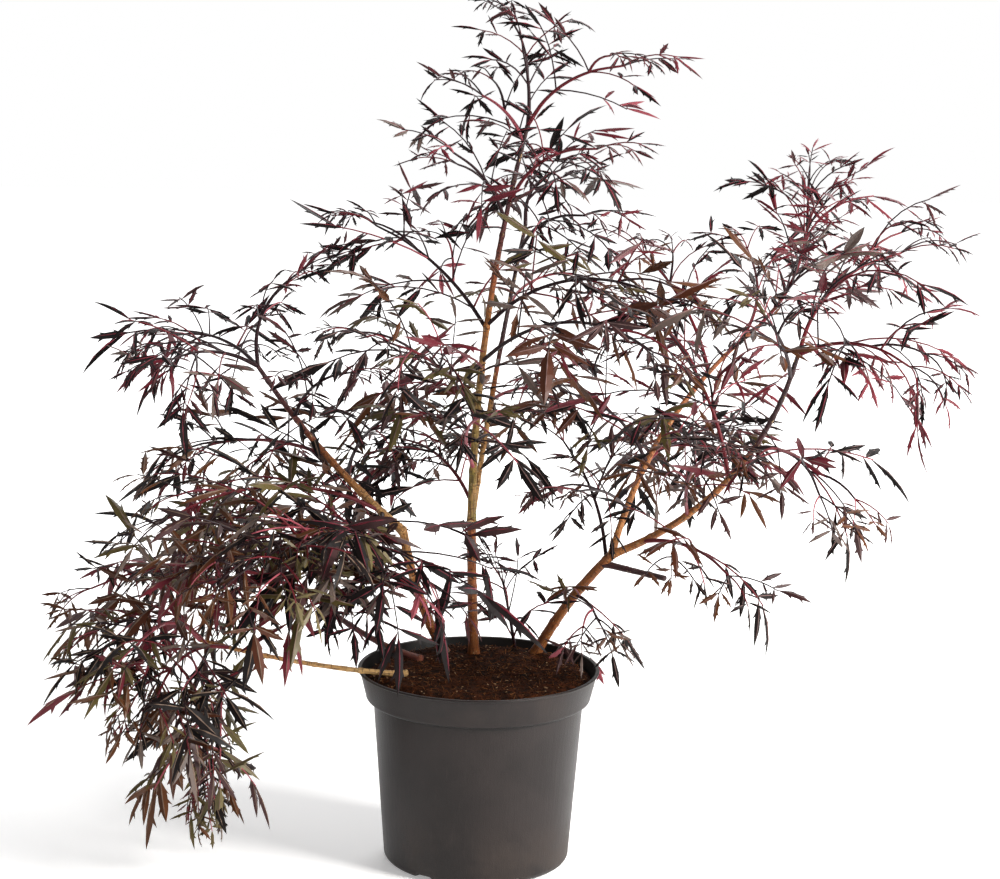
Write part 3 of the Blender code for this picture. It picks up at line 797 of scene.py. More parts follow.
@dataclass
class Bark:
    """Stems and boughs as smooth tapering limbs with leaf scars, pores and ridges."""

    skeleton: Skeleton
    step: float = 0.0016
    sides: int = 26
    flare: float = 0.0024
    flare_height: float = 0.010
    fork_swell: float = 0.0012
    fork_height: float = 0.006
    scar_spacing: Pair = (0.036, 0.052)
    scar_swell: float = 0.00055
    scar_height: float = 0.0022
    pore_spacing: float = 0.0042
    pore_height: float = 0.00035
    pore_length: float = 0.0016
    pore_width: float = 0.0006
    pore_size: Pair = (0.6, 1.3)
    ridge_height: float = 0.00018
    ridges_round: float = 2.2
    ridges_along: float = 55
    ridge_offset: Pair = (0, 50)
    # The old cut on the centre stem: distance from its root, share of its radius and paleness of each ring
    cut_rings: tuple[Colour, ...] = (
        (0.0, 0.9, 0.0),
        (0.00527, 1.08, 0.0),
        (0.0062, 1.0, 0.2),
        (0.0065, 0.72, 1.0),
        (0.0066, 0.30, 0.5),
    )
    cut_radius: float = 0.0040
    cut_heading: Colour = (-0.15, -1.0, 0.12)
    cut_age: float = 0.4
    green_share: float = 0.38
    green_fade: float = 0.35

    def radii(self, limb: Limb, distance: np.ndarray, rng: random.Random) -> np.ndarray:
        """The plain radius along a limb, with its flare at the foot, its fork's collar and its scars."""
        radius = limb.radius[0] + (limb.radius[1] - limb.radius[0]) * distance / distance[-1]
        if limb.parent:
            radius = radius + self.fork_swell * np.exp(-distance / self.fork_height)
        else:
            radius = radius + self.flare * np.exp(-distance / self.flare_height)
        scar = rng.uniform(*self.scar_spacing)
        while scar < distance[-1]:
            radius = radius + self.scar_swell * np.exp(-(((distance - scar) / self.scar_height) ** 2))
            scar += rng.uniform(*self.scar_spacing)
        return radius

    def pores(self, radius: np.ndarray, distance: np.ndarray, rng: random.Random) -> np.ndarray:
        """How strongly a pore shows at each point of the limb's surface, nought to one."""
        shown = np.zeros((len(distance), self.sides))
        for _ in range(int(distance[-1] / self.pore_spacing)):
            place, turn = rng.uniform(0, distance[-1]), rng.uniform(0, 2 * math.pi)
            size = rng.uniform(*self.pore_size)
            apart = (round_angles(self.sides) - turn + math.pi) % (2 * math.pi) - math.pi
            across = apart[None, :] * radius[:, None] / (self.pore_width * size)
            length = (distance[:, None] - place) / (self.pore_length * size)
            shown = np.maximum(shown, np.exp(-(across**2) - length**2))
        return shown

    def ridges(self, distance: np.ndarray, offset: float) -> np.ndarray:
        """Lengthwise ridges and dents, from about -1 to 1."""
        angles = round_angles(self.sides)
        spots = np.stack([np.cos(angles), np.sin(angles)], 1) * self.ridges_round + (0, offset)
        return np.array([[noise.noise((x, y, self.ridges_along * d)) for x, y in spots] for d in distance])

    def limb(self, limb: Limb) -> Surface:
        """Make one limb with its relief and the marks that colour it."""
        rng = random.Random(f"{SEED} {limb.name} bark")
        points = smoothed(self.skeleton.courses[limb.name], round(limb.length / self.step))
        distance = np.cumsum([0.0] + [(b - a).length for a, b in zip(points, points[1:])])
        radius = self.radii(limb, distance, rng)
        pores = self.pores(radius, distance, rng)
        relief = self.ridges(distance, rng.uniform(*self.ridge_offset)) * self.ridge_height
        surface = tube(points, radius[:, None] + (relief + pores * self.pore_height), self.sides)
        share = np.concatenate([np.repeat(distance / distance[-1], self.sides), [0.0, 1.0]])
        turned = np.clip((share - limb.turns[0]) / (limb.turns[1] - limb.turns[0]), 0, 1)
        surface.marks["age"] = limb.age[0] + (limb.age[1] - limb.age[0]) * turned**2 * (3 - 2 * turned)
        surface.marks["pore"] = np.concatenate([pores.ravel(), [0.0, 0.0]])
        greenest = float(limb.name == GREEN_LIMB)
        surface.marks["green"] = greenest * np.clip(1 - share / self.green_share, 0, 1) ** self.green_fade
        return Surface.joined([surface, self.old_cut(points[-1])]) if limb.name == CUT_STEM else surface

    def old_cut(self, root: Vector) -> Surface:
        """The stub of an old pruning cut, with a pale end that faces the viewer."""
        toward = Vector(self.cut_heading).normalized()
        places, shares, pale = np.array(self.cut_rings).T
        surface = tube([root + toward * place for place in places], self.cut_radius * shares, self.sides)
        surface.marks["age"] = np.full(len(surface.points), self.cut_age)
        surface.marks["pore"] = np.concatenate([np.repeat(pale, self.sides), [0.0, 0.2]])
        surface.marks["green"] = np.zeros(len(surface.points))
        return surface

    def build(self, material: bpy.types.Material) -> None:
        """Build every limb, each in place of its own node."""
        for limb in LIMBS:
            declare(self.limb(limb).made(f"{limb.name}_bark", material), "orange_bark", limb.name)


# Leaves


LEAVES = (
    PlainFinish("leaf_night", linear(17, 11, 11), (44, 62, 35, 26), roughness=0.50, shine=0.12),
    PlainFinish("leaf_plum", linear(54, 32, 32), (24, 20, 14, 13)),
    PlainFinish("leaf_wine", linear(88, 27, 36), (25, 13, 10, 6), "wine_foliage"),
    PlainFinish("leaf_rose", linear(124, 60, 68), (3, 2, 0, 0), "wine_foliage"),
    # Painted sheen: a pale grey-mauve that stands in for leaves whose upper sides catch the light
    PlainFinish("leaf_mist", linear(86, 73, 67), (4, 3, 8, 8)),
    PlainFinish("leaf_umber", linear(78, 45, 24), (0, 0, 20, 23), "bronze_foliage"),
    PlainFinish("leaf_olive", linear(76, 66, 36), (0, 0, 10, 12)),
    PlainFinish("leaf_khaki", linear(94, 84, 54), (0, 0, 0, 5)),
    PlainFinish("leaf_rust", linear(68, 33, 17), (0, 0, 3, 7)),
)
TWIGS = (
    PlainFinish("twig_crimson", linear(98, 28, 36), (30, 20, 32, 38), "crimson_bark"),
    PlainFinish("twig_dark", linear(38, 20, 24), (66, 76, 60, 49), "crimson_bark"),
    PlainFinish("twig_pink", linear(150, 72, 82), (4, 4, 8, 13), "crimson_bark"),
)
# The raised midribs of the leaves of each Tone, in the order of the tones: their pale colours are painted
# highlight
HIGHLIGHT_VEINS = (
    PlainFinish("vein_wine", linear(122, 44, 56), slot="wine_foliage"),
    PlainFinish("vein_crimson", linear(104, 34, 46), slot="wine_foliage"),
    PlainFinish("vein_mauve", linear(110, 84, 80), slot="wine_foliage"),
    PlainFinish("vein_buff", linear(112, 92, 78), slot="wine_foliage"),
)
PIECE_NAMES = {"leaf": "leaves", "vein": "veins", "twig": "twigs"}


def dealt(finishes: Sequence[PlainFinish], tone: Tone, rng: random.Random) -> str:
    """The name of one of these finishes, drawn by its share in this tone."""
    return rng.choices(finishes, [finish.shares[tone.value] for finish in finishes])[0].name


@dataclass(frozen=True)
class LeafletForm:
    """The outline of a leaflet: a lance-shaped blade with forward-pointing teeth, in shares of its length.

    teeth are the numbers of teeth to a side that come up, body is half the blade's width, reach how
    long a tooth is, foot how much of the edge it takes, and sweep its angle to the midrib in degrees.
    The width grows with the power rise of the place along the blade, and falls with the power fall.
    """

    teeth: tuple[int, ...]
    body: float
    reach: float
    sweep: float
    foot: float = 0.09
    first: float = 0.16
    last: float = 0.84
    rise: float = 0.8
    fall: float = 0.95
    widest: float = 3.34
    thickness: float = 0.006
    hub_place: float = 0.55
    hub_width: float = 0.9
    hub_height: float = 0.6
    tooth_start: float = 0.15
    tooth_swell: float = 0.7
    tooth_chance: float = 0.8
    tooth_place: Pair = (0.35, 0.65)
    tooth_size: Pair = (0.6, 1.2)
    tooth_turn: Pair = (0.75, 1.25)

    def width(self, place: float) -> float:
        """Half the blade's width at this place along it, which is largest a little before the middle."""
        return self.body * self.widest * place**self.rise * (1 - place) ** self.fall

    def stations(self, rng: random.Random) -> tuple[list[float], list[int]]:
        """Places along the midrib, and the numbers of those where a tooth starts."""
        count = rng.choice(self.teeth)
        space = (self.last - self.first) / count
        places: list[float] = []
        for index in range(count):
            start = self.first + space * (index + rng.uniform(*self.tooth_place)) - self.foot / 2
            places += [start, start + self.foot]
        if count == 1:
            return [self.first, *places, self.last], [1]
        return places, list(range(0, 2 * count, 2))

    def template(self, rng: random.Random) -> Surface:
        """Make one variant of the leaflet.

        Args:
            rng: Where its small irregularities come from.

        Returns:
            A closed thin blade along +X from the origin, one long, with its upper side towards +Z.
        """
        points: list[Colour] = [(0, 0, 0), (1, 0, 0)]
        faces: list[tuple[int, int, int, int]] = []

        def point(x: float, y: float, z: float = 0.0) -> int:
            points.append((x, y, z))
            return len(points) - 1

        places, toothed = self.stations(rng)
        ribs = {face: [point(s, 0, face * self.thickness) for s in places] for face in (1, -1)}
        for side in (1, -1):
            edge = [point(s, side * self.width(s)) for s in places]
            for index, (place, following) in enumerate(zip(places, places[1:])):
                outline = edge[index : index + 2]
                if index in toothed and rng.random() < self.tooth_chance:
                    outline.insert(1, self.tooth(points[edge[index]], side, rng, point))
                for face in (1, -1):
                    ring = [ribs[face][index], *outline, ribs[face][index + 1]]
                    if len(outline) == 2:
                        faces += [(*ring[:3], face), (ring[0], *ring[2:], face)]
                        continue
                    hub_x = place + self.hub_place * (following - place)
                    hub_y = side * self.hub_width * self.width(place)
                    hub = point(hub_x, hub_y, face * self.thickness * self.hub_height)
                    faces += [(hub, a, b, face) for a, b in zip(ring, ring[1:] + ring[:1])]
            for face in (1, -1):
                faces += [(0, edge[0], ribs[face][0], face), (ribs[face][-1], edge[-1], 1, face)]
        return Surface(np.array(points, float), self.turned_out(points, faces))

    def tooth(self, root: Colour, side: int, rng: random.Random, point: Callable[..., int]) -> int:
        """Add the tip of a tooth that starts at a point of the edge, longest at the blade's middle."""
        fullness = math.sin(math.pi * (self.tooth_start + self.tooth_swell * root[0])) ** self.tooth_swell
        reach = self.reach * fullness * rng.uniform(*self.tooth_size)
        sweep = math.radians(self.sweep * rng.uniform(*self.tooth_turn))
        return point(root[0] + reach * math.cos(sweep), root[1] + side * reach * math.sin(sweep))

    def turned_out(self, points: list, faces: list) -> np.ndarray:
        """Turn each flat triangle so that it faces up or down, as its last number says."""
        flat = np.array(points)[:, :2]
        faces = np.array(faces)
        corners = faces[:, :3]
        a, b, c = (flat[corners[:, index]] for index in range(3))
        area = (b[:, 0] - a[:, 0]) * (c[:, 1] - a[:, 1]) - (b[:, 1] - a[:, 1]) * (c[:, 0] - a[:, 0])
        wrong = area * faces[:, 3] < 0
        corners[wrong] = corners[wrong][:, ::-1]
        return corners


FORMS: dict[Age, LeafletForm] = {
    Age.YOUNG: LeafletForm((1, 2, 2, 3), body=0.066, reach=0.20, sweep=20, foot=0.08),
    Age.GROWN: LeafletForm((1, 2, 2, 3), body=0.078, reach=0.18, sweep=21),
    Age.OLD: LeafletForm((1, 1, 2, 3), body=0.086, reach=0.16, sweep=22),
}
VARIANTS = 6
# The ages whose cut of leaf turns up now and then among the leaves of each age
NEIGHBOURS = {Age.YOUNG: (Age.GROWN,), Age.GROWN: (Age.YOUNG, Age.OLD), Age.OLD: (Age.GROWN,)}


@dataclass(frozen=True)
class LeafHabit:
    """How a compound leaf carries its leaflets.

    pairs are the numbers of pairs that come up, spacing the share of the stalk between two pairs, length
    a leaflet's length on a full-grown leaf, and stalk the stalk's share of the leaf. spread and droop
    are the leaflets' angle to the stalk and the stalk's bend, in degrees.
    """

    pairs: tuple[int, ...]
    spacing: float
    length: float
    stalk: float
    spread: float
    droop: float


HABITS: dict[Age, LeafHabit] = {
    Age.YOUNG: LeafHabit((3, 3, 4), 0.21, 0.042, 0.72, 46.0, 56.0),
    Age.GROWN: LeafHabit((3, 3, 3), 0.25, 0.048, 0.66, 54.0, 44.0),
    Age.OLD: LeafHabit((2, 3, 3), 0.27, 0.049, 0.63, 60.0, 34.0),
}
# How far a blade's halves fold down, as a share of their width
FOLD = 0.45
# A vein on a leaflet one long: place, half width and top of each ring, its underside's height, and its tip
VEIN_RINGS = ((0.0, 0.010, 0.012), (0.35, 0.015, 0.018), (0.65, 0.011, 0.015))
VEIN_FOOT = 0.002
VEIN_TIP = (0.92, 0.0, 0.006)


def vein_template() -> Surface:
    """The raised midrib of a leaflet one long: a closed three-sided rod that tapers to its tip."""
    points: list[Colour] = []
    for place, half, top in VEIN_RINGS:
        points += [(place, half, VEIN_FOOT), (place, -half, VEIN_FOOT), (place, 0.0, top)]
    triangles = [(0, 1, 2)]
    for start in (0, 3):
        for side in range(3):
            low, after = start + side, start + (side + 1) % 3
            triangles += [(low, low + 3, after), (after, low + 3, after + 3)]
    triangles += [(6 + side, 9, 6 + (side + 1) % 3) for side in range(3)]
    return Surface(np.array([*points, VEIN_TIP]), np.array(triangles))


@dataclass
class Leaflet:
    """Where one leaflet is: its root, heading, upper side, length, breadth and downward bend."""

    root: Vector
    ahead: Vector
    normal: Vector
    length: float
    width: float
    bend: float


def placed(template: Surface, leaflets: Sequence[Leaflet]) -> Surface:
    """Copy a leaflet's template, one long, to the place of each leaflet, bent down along its length."""
    vectors = ([tuple(getattr(leaf, name)) for leaf in leaflets] for name in ("root", "ahead", "normal"))
    root, ahead, normal = (np.array(values)[:, None] for values in vectors)
    numbers = ([getattr(leaf, name) for leaf in leaflets] for name in ("length", "width", "bend"))
    length, width, bend = (np.array(values)[:, None, None] for values in numbers)
    x = template.points[None, :, :1]
    y = template.points[None, :, 1:2] * width
    z = template.points[None, :, 2:3] - np.abs(y) * FOLD
    angle = bend * x
    forward = np.sin(angle) / bend
    down = (1 - np.cos(angle)) / bend
    upper = normal * np.cos(angle) + ahead * np.sin(angle)
    across = np.cross(normal, ahead)
    points = root + length * (ahead * forward - normal * down + across * y + upper * z)
    starts = np.arange(len(leaflets))[:, None, None] * len(template.points)
    return Surface(points.reshape(-1, 3), (template.triangles[None] + starts).reshape(-1, 3))


# Root, tip and breadth of the single rosy leaflets on the compost and over the pot's rim
ROSY_LEAFLETS: tuple[tuple[Colour, Colour, float], ...] = (
    ((0.062, 0.044, 0.178), (0.080, 0.064, 0.190), 1.5),
    ((0.1065, 0.033, 0.1845), (0.119, 0.012, 0.167), 1.3),
    ((0.1050, 0.040, 0.1845), (0.121, 0.024, 0.172), 1.1),
)
ROSY_BEND = 0.2


@dataclass(frozen=True)
class Whims:
    """How far leaves and twigs stray from their rule.

    Most are the least and the most of a share; leaflet_droop, leaflet_roll and leaf_turn are the middle and
    the usual deviation of a bell curve, twig_side and twig_rise are degrees, and own_cut is a chance.
    """

    leaflet_spread: Pair = (0.75, 1.25)
    leaflet_droop: Pair = (0.05, 0.45)
    leaflet_roll: Pair = (0, 0.55)
    leaflet_size: Pair = (0.82, 1.15)
    leaflet_width: Pair = (0.8, 1.2)
    leaflet_bend: Pair = (0.12, 0.8)
    leaf_droop: Pair = (0.6, 1.2)
    leaf_turn: Pair = (0, 0.25)
    own_cut: float = 0.8
    tuft_lift: Pair = (-0.1, 0.2)
    tuft_size: Pair = (0.7, 1.0)
    pair_tilt: Pair = (-0.35, 0.35)
    leaf_spread: Pair = (0.75, 1.15)
    leaf_size: Pair = (0.85, 1.08)
    twig_place: Pair = (0.2, 0.8)
    twig_side: Pair = (35, 60)
    twig_rise: Pair = (0, 25)
    twig_size: Pair = (0.7, 1.3)


@dataclass
class Foliage:
    """Every mass of foliage: shoots, finer side twigs, compound leaves and their leaflets.

    blades are gathered by their finish, cut and variant, and stalks by their finish.
    """

    skeleton: Skeleton
    lowest: Vector
    highest: Vector
    pot_radius: float
    pot_height: float
    whims: Whims = Whims()
    shoot_radius: Pair = (0.0020, 0.0010)
    shoot_sides: int = 8
    shoot_step: float = 0.008
    fewest_steps: int = 8
    twig_radius: Pair = (0.0014, 0.0009)
    twig_sides: int = 5
    twig_length: float = 0.05
    twig_pitch: float = 1.9
    twig_places: Pair = (0.25, 0.6)
    twig_bend: Pair = (0.3, 0.7)
    twig_leaves: float = 0.8
    stalk_radius: Pair = (0.0011, 0.0007)
    stalk_sides: int = 4
    stalk_steps: int = 5
    least_stalk: float = 0.6
    leaf_length: float = 0.140
    young_length: float = 0.080
    lowest_leaf: float = 0.12
    grown_at: float = 2.0
    leaf_spread: float = 50.0
    leaf_raise: float = 0.3
    leaf_turn: float = 0.9
    leaf_margin: float = 1.05
    tuft_turns: tuple[float, ...] = (0.0, 0.55, -0.55)
    hanging: float = math.radians(-60)
    small_leaf: float = 0.75
    small_pairs: int = 2
    end_leaflet: Pair = (0.97, 1.15)
    first_pair: float = 0.90
    pair_stagger: float = 0.02
    pair_shrink: float = 0.12
    roll_share: float = 0.3
    blades: dict[tuple[str, Age | None, int], list[Leaflet]] = field(default_factory=dict)
    stalks: dict[str, list[Surface]] = field(default_factory=dict)

    def fits(self, point: Vector) -> bool:
        """Whether a point lies inside the model's box and clear of the pot."""
        inside = all(low < value < high for low, value, high in zip(self.lowest, point, self.highest))
        beside = math.hypot(point.x, point.y) > self.pot_radius
        return inside and (beside or point.z > self.pot_height)

    def add_leaflet(self, kind: str, cut: Age, variant: int, tone: Tone, leaflet: Leaflet) -> None:
        """Keep a leaflet with those of its own finish and cut, and its painted-highlight vein with those of
        its tone.
        """
        self.blades.setdefault((kind, cut, variant), []).append(leaflet)
        self.blades.setdefault((HIGHLIGHT_VEINS[tone.value].name, None, variant), []).append(leaflet)

    def add_stalk(self, kind: str, points: list[Vector], radii: np.ndarray, sides: int) -> None:
        """Keep a stalk or twig with those of its own finish."""
        stalk = tube(points, radii, sides)
        stalk.marks.clear()
        self.stalks.setdefault(kind, []).append(stalk)

    def leaflet(
        self, stalk: list[Vector], place: float, spread: float, length: float, rng: random.Random
    ) -> Leaflet:
        """Aim one leaflet.

        Args:
            stalk: The leaf's centreline.
            place: Where on it the leaflet sits.
            spread: Its angle to the stalk in degrees, to either side, and 0 at the end.
            length: The leaflet's usual length.
            rng: Where its small irregularities come from.

        Returns:
            The leaflet.
        """
        whims = self.whims
        root, ahead = along(stalk, place)
        turn = math.radians(spread * rng.uniform(*whims.leaflet_spread))
        aim = ahead * math.cos(turn) + level_beside(ahead) * math.sin(turn)
        aim = (aim - UP * rng.gauss(*whims.leaflet_droop)).normalized()
        upper = UP - aim * aim.dot(UP)
        upper = upper.normalized() if upper.length > 2 * NEARLY_UPRIGHT else aim.orthogonal().normalized()
        roll = rng.gauss(*whims.leaflet_roll) + turn * self.roll_share
        upper = upper * math.cos(roll) + upper.cross(aim) * math.sin(roll)
        size = length * rng.uniform(*whims.leaflet_size)
        return Leaflet(
            root, aim, upper, size, rng.uniform(*whims.leaflet_width), rng.uniform(*whims.leaflet_bend)
        )

    def leaf(self, root: Vector, aim: Vector, length: float, shoot: Shoot, rng: random.Random) -> None:
        """Grow one compound leaf, unless it would leave the crown's space.

        Args:
            root: Where its stalk starts.
            aim: The stalk's first heading.
            length: The leaf's length without its last leaflet's lobes.
            shoot: The shoot that it belongs to.
            rng: Where its turns and sizes come from.
        """
        heading = math.atan2(aim.y, aim.x)
        rise = math.asin(max(-1.0, min(1.0, aim.z)))
        habit = HABITS[shoot.age]
        droop = 0.0
        if rise > self.hanging:
            droop = math.radians(habit.droop * rng.uniform(*self.whims.leaf_droop))
        rises = (rise + droop * self.leaf_raise, rise - droop * (1 - self.leaf_raise))
        turns = (heading, heading + rng.gauss(*self.whims.leaf_turn))
        stalk = course(root, turns, rises, length * habit.stalk, self.stalk_steps)
        size = length / self.leaf_length
        end, ahead = along(stalk, 1.0)
        if not self.fits(end + ahead * habit.length * size * self.leaf_margin) or not self.fits(end):
            return
        pairs = rng.choice(habit.pairs) if size > self.small_leaf else self.small_pairs
        places = [(self.end_leaflet[0], 0.0, self.end_leaflet[1])]
        for pair in range(pairs):
            place = self.first_pair - pair * habit.spacing
            share = 1.0 - self.pair_shrink * pair
            places += [(place + self.pair_stagger * side, side, share) for side in (1.0, -1.0)]
        cut = shoot.age if rng.random() < self.whims.own_cut else rng.choice(NEIGHBOURS[shoot.age])
        kind = dealt(LEAVES, shoot.tone, rng)
        for place, side, share in places:
            leaflet = self.leaflet(stalk, place, side * habit.spread, habit.length * size * share, rng)
            if self.fits(leaflet.root + leaflet.ahead * leaflet.length):
                self.add_leaflet(kind, cut, rng.randrange(VARIANTS), shoot.tone, leaflet)
        thickness = self.least_stalk + (1 - self.least_stalk) * size
        radii = np.linspace(*self.stalk_radius, len(stalk)) * thickness
        self.add_stalk(dealt(TWIGS, shoot.tone, rng), stalk, radii, self.stalk_sides)

    def leafy(
        self, points: list[Vector], length: float, size: float, shoot: Shoot, rng: random.Random
    ) -> None:
        """Set leaves in opposite pairs along a shoot or its twig, with a tuft of young ones at its tip."""
        whims = self.whims
        ahead = along(points, 1.0)[1]
        level = level_beside(ahead)
        for turn in self.tuft_turns:
            lift = UP * rng.uniform(*whims.tuft_lift)
            aim = (ahead * math.cos(turn) + level * math.sin(turn) + lift).normalized()
            self.leaf(points[-1], aim, self.young_length * size * rng.uniform(*whims.tuft_size), shoot, rng)
        count = max(1, int(length * (1 - self.lowest_leaf) / shoot.pitch))
        for index in range(1, count + 1):
            root, ahead = along(points, 1 - index * shoot.pitch / length)
            level = level_beside(ahead)
            grown = min(1.0, index / self.grown_at)
            reach = (self.young_length + (self.leaf_length - self.young_length) * grown) * size
            tilt = (index % 2) * self.leaf_turn + rng.uniform(*whims.pair_tilt)
            for turn in (tilt, math.pi + tilt):
                out = level * math.cos(turn) + level.cross(ahead) * math.sin(turn)
                spread = math.radians(self.leaf_spread * rng.uniform(*whims.leaf_spread))
                aim = (ahead * math.cos(spread) + out * math.sin(spread)).normalized()
                self.leaf(root, aim, reach * rng.uniform(*whims.leaf_size), shoot, rng)

    def side_twigs(self, points: list[Vector], shoot: Shoot, rng: random.Random) -> None:
        """Grow finer twigs from a shoot, alternately to each side."""
        whims = self.whims
        count = round(shoot.length / (self.twig_pitch * shoot.pitch))
        for index in range(count):
            first, spread = self.twig_places
            root, ahead = along(points, first + spread * (index + rng.uniform(*whims.twig_place)) / count)
            side = 1 if index % 2 else -1
            heading = math.atan2(ahead.y, ahead.x) + side * math.radians(rng.uniform(*whims.twig_side))
            rise = math.asin(ahead.z) + math.radians(rng.uniform(*whims.twig_rise))
            length = self.twig_length * shoot.size * rng.uniform(*whims.twig_size)
            turns = (heading, heading - side * self.twig_bend[0])
            twig = course(root, turns, (rise, rise - self.twig_bend[1]), length, self.stalk_steps)
            if not self.fits(twig[-1]):
                continue
            kind = dealt(TWIGS, shoot.tone, rng)
            self.add_stalk(kind, twig, np.linspace(*self.twig_radius, len(twig)), self.twig_sides)
            self.leafy(twig, length, shoot.size * self.twig_leaves, shoot, rng)

    def grow(self, shoot: Shoot) -> None:
        """Grow one mass of foliage from its shoot."""
        rng = random.Random(f"{SEED} {shoot.name}")
        steps = max(self.fewest_steps, round(shoot.length / self.shoot_step))
        points = smoothed(self.skeleton.courses[shoot.name], steps)
        radii = np.linspace(*self.shoot_radius, len(points)) * math.sqrt(shoot.size)
        kind = dealt(TWIGS, shoot.tone, rng)
        if shoot.tone is Tone.WINE:
            kind = "twig_crimson"
        self.add_stalk(kind, points, radii, self.shoot_sides)
        self.leafy(points, shoot.length, shoot.size, shoot, rng)
        self.side_twigs(points, shoot, rng)

    def rosy_leaflets(self) -> None:
        """Lay the single rosy leaflets low on the plant."""
        for root, tip, breadth in ROSY_LEAFLETS:
            reach = Vector(tip) - Vector(root)
            ahead = reach.normalized()
            upper = (UP - ahead * ahead.dot(UP)).normalized()
            leaflet = Leaflet(Vector(root), ahead, upper, reach.length, breadth, ROSY_BEND)
            self.add_leaflet("leaf_rose", Age.OLD, 0, Tone.WINE, leaflet)

    def pieces(self, finish: PlainFinish, parts: Iterable[Surface]) -> None:
        kind, colour = finish.name.split("_")
        material = finish.material()
        batches: list[list[Surface]] = [[]]
        held = 0
        for part in parts:
            if held + len(part.triangles) > MOST_TRIANGLES:
                batches.append([])
                held = 0
            batches[-1].append(part)
            held += len(part.triangles)
        for index, batch in enumerate(batches):
            name = f"{PIECE_NAMES[kind]}_{colour}_{index + 1}"
            piece = Surface.joined(batch).made(name, material, smooth=kind != "leaf")
            declare(piece, finish.slot, *(shoot.name for shoot in SHOOTS))

    def build(self) -> None:
        """Grow every mass and make its pieces, each colour apart."""
        for shoot in SHOOTS:
            self.grow(shoot)
        self.rosy_leaflets()
        rng = random.Random(f"{SEED} leaflets")
        templates = {(age, number): FORMS[age].template(rng) for age in Age for number in range(VARIANTS)}
        for finish in (*LEAVES, *HIGHLIGHT_VEINS):
            keys = sorted((key for key in self.blades if key[0] == finish.name), key=str)
            cuts = (templates.get(key[1:], vein_template()) for key in keys)
            self.pieces(finish, [placed(cut, self.blades[key]) for cut, key in zip(cuts, keys)])
        for finish in TWIGS:
            self.pieces(finish, self.stalks[finish.name])


# Pot and compost


@dataclass
class Pot:
    """The round plastic pot: a tapering wall, a wider collar with a lip, and notches round the foot."""

    height: float = 0.184
    rim_radius: float = 0.1125
    collar_top_radius: float = 0.1105
    collar_foot_radius: float = 0.105
    collar_height: float = 0.029
    collar_rounding: float = 0.004
    collar_steps: int = 4
    wall_top_radius: float = 0.0975
    wall_fillet: float = 0.0015
    wall_steps: int = 12
    foot_radius: float = 0.0868
    corner_radius: float = 0.008
    wall: float = 0.0018
    lip: float = 0.002
    lip_gap: float = 0.0006
    inner_rounding: float = 0.001
    floor: float = 0.0025
    segments: int = 192
    notches: int = 6
    notch_width: float = 0.021
    notch_height: float = 0.005
    notch_inner_radius: float = 0.0725
    notch_edge: float = 0.001
    notch_slope: float = 0.0016
    notch_turn: float = math.radians(-125)
    # How dark the painted shadow under the collar's ledge is
    ledge_shade: float = 0.8
    sharp_from: float = math.radians(50)

    @property
    def collar_foot(self) -> float:
        """The height of the collar's foot."""
        return self.height - self.collar_height

    def outer(self) -> list[Pair]:
        """The outside, from the middle of the underside up to the lip."""
        fillet, rounding = self.wall_fillet, self.collar_rounding
        foot = self.foot_radius - self.corner_radius
        notch = self.notch_inner_radius
        points = [(0.0, 0.0), (notch - self.notch_edge, 0.0), (notch, 0.0)]
        points += arc((foot, self.corner_radius), self.corner_radius, -90, -8, 8)
        points += run(points[-1], (self.wall_top_radius, self.collar_foot - rounding), self.wall_steps)
        points += arc((self.wall_top_radius + fillet, self.collar_foot - fillet), fillet, 180, 100, 3)
        points += arc((self.collar_foot_radius - rounding, self.collar_foot + rounding), rounding, -80, 0, 6)
        under_lip = (self.collar_top_radius, self.height - self.lip - self.lip_gap)
        points += run(points[-1], under_lip, self.collar_steps)
        edge = self.lip / 2
        return points + arc((self.rim_radius - edge, self.height - edge), edge, -60, 90, 8)

    def inner(self) -> list[Pair]:
        """The inside, from the lip down to the middle of the floor."""
        top, wall, rounding = self.inner_rounding, self.wall, self.collar_rounding
        points = arc((self.collar_top_radius - wall + top, self.height - top), top, 90, 180, 3)
        points.append((self.collar_foot_radius - wall, self.collar_foot + rounding + wall))
        points.append((self.wall_top_radius - wall, self.collar_foot - rounding + wall))
        corner = self.corner_radius - wall
        points += arc((self.foot_radius - wall - corner, self.floor + corner), corner, 0, -90, 4)
        return points + [(0.0, self.floor)]

    def cut_notches(self, surface: Surface, outside: int) -> None:
        """Lift the foot over each drainage notch, and the floor above it.

        Args:
            surface: The pot.
            outside: How many of its points, which come first, are on its outside.
        """
        points = surface.points
        radius = np.hypot(points[:, 0], points[:, 1])
        angle = np.arctan2(points[:, 1], points[:, 0]) - self.notch_turn
        spacing = 2 * math.pi / self.notches
        apart = np.abs((angle + spacing / 2) % spacing - spacing / 2) * self.foot_radius
        share = np.clip((self.notch_width / 2 - apart) / self.notch_slope, 0, 1)
        top = np.where(np.arange(len(points)) < outside, self.notch_height, self.notch_height + self.wall)
        foot = (radius > self.notch_inner_radius - self.notch_slope / 8) & (points[:, 2] < top)
        points[foot, 2] = np.maximum(points[foot, 2], (share * top)[foot])

    def build(self) -> None:
        """Build the pot in place of its node."""
        outer, inner = self.outer(), self.inner()
        surface = lathe(outer + inner, self.segments)
        self.cut_notches(surface, (len(outer) - 1) * self.segments)
        # The mark "inside" is painted shade: full over the pot's inside, and ledge_shade under the collar's
        # ledge
        heights = np.array([height for _, height in outer + inner])[1:-1]
        shaded_inside_rows = np.arange(len(heights)) > len(outer) + 1
        ledge = np.abs(heights - self.collar_foot) < self.wall
        dark = np.where(shaded_inside_rows, 1.0, ledge * self.ledge_shade)
        surface.marks["inside"] = np.concatenate([np.repeat(dark, self.segments), [0.0, 1.0]])
        piece = surface.made("pot_moulded", PotFinish().material(self.height))
        piece.data.set_sharp_from_angle(angle=self.sharp_from)
        declare(piece, "pot_plastic", "pot")


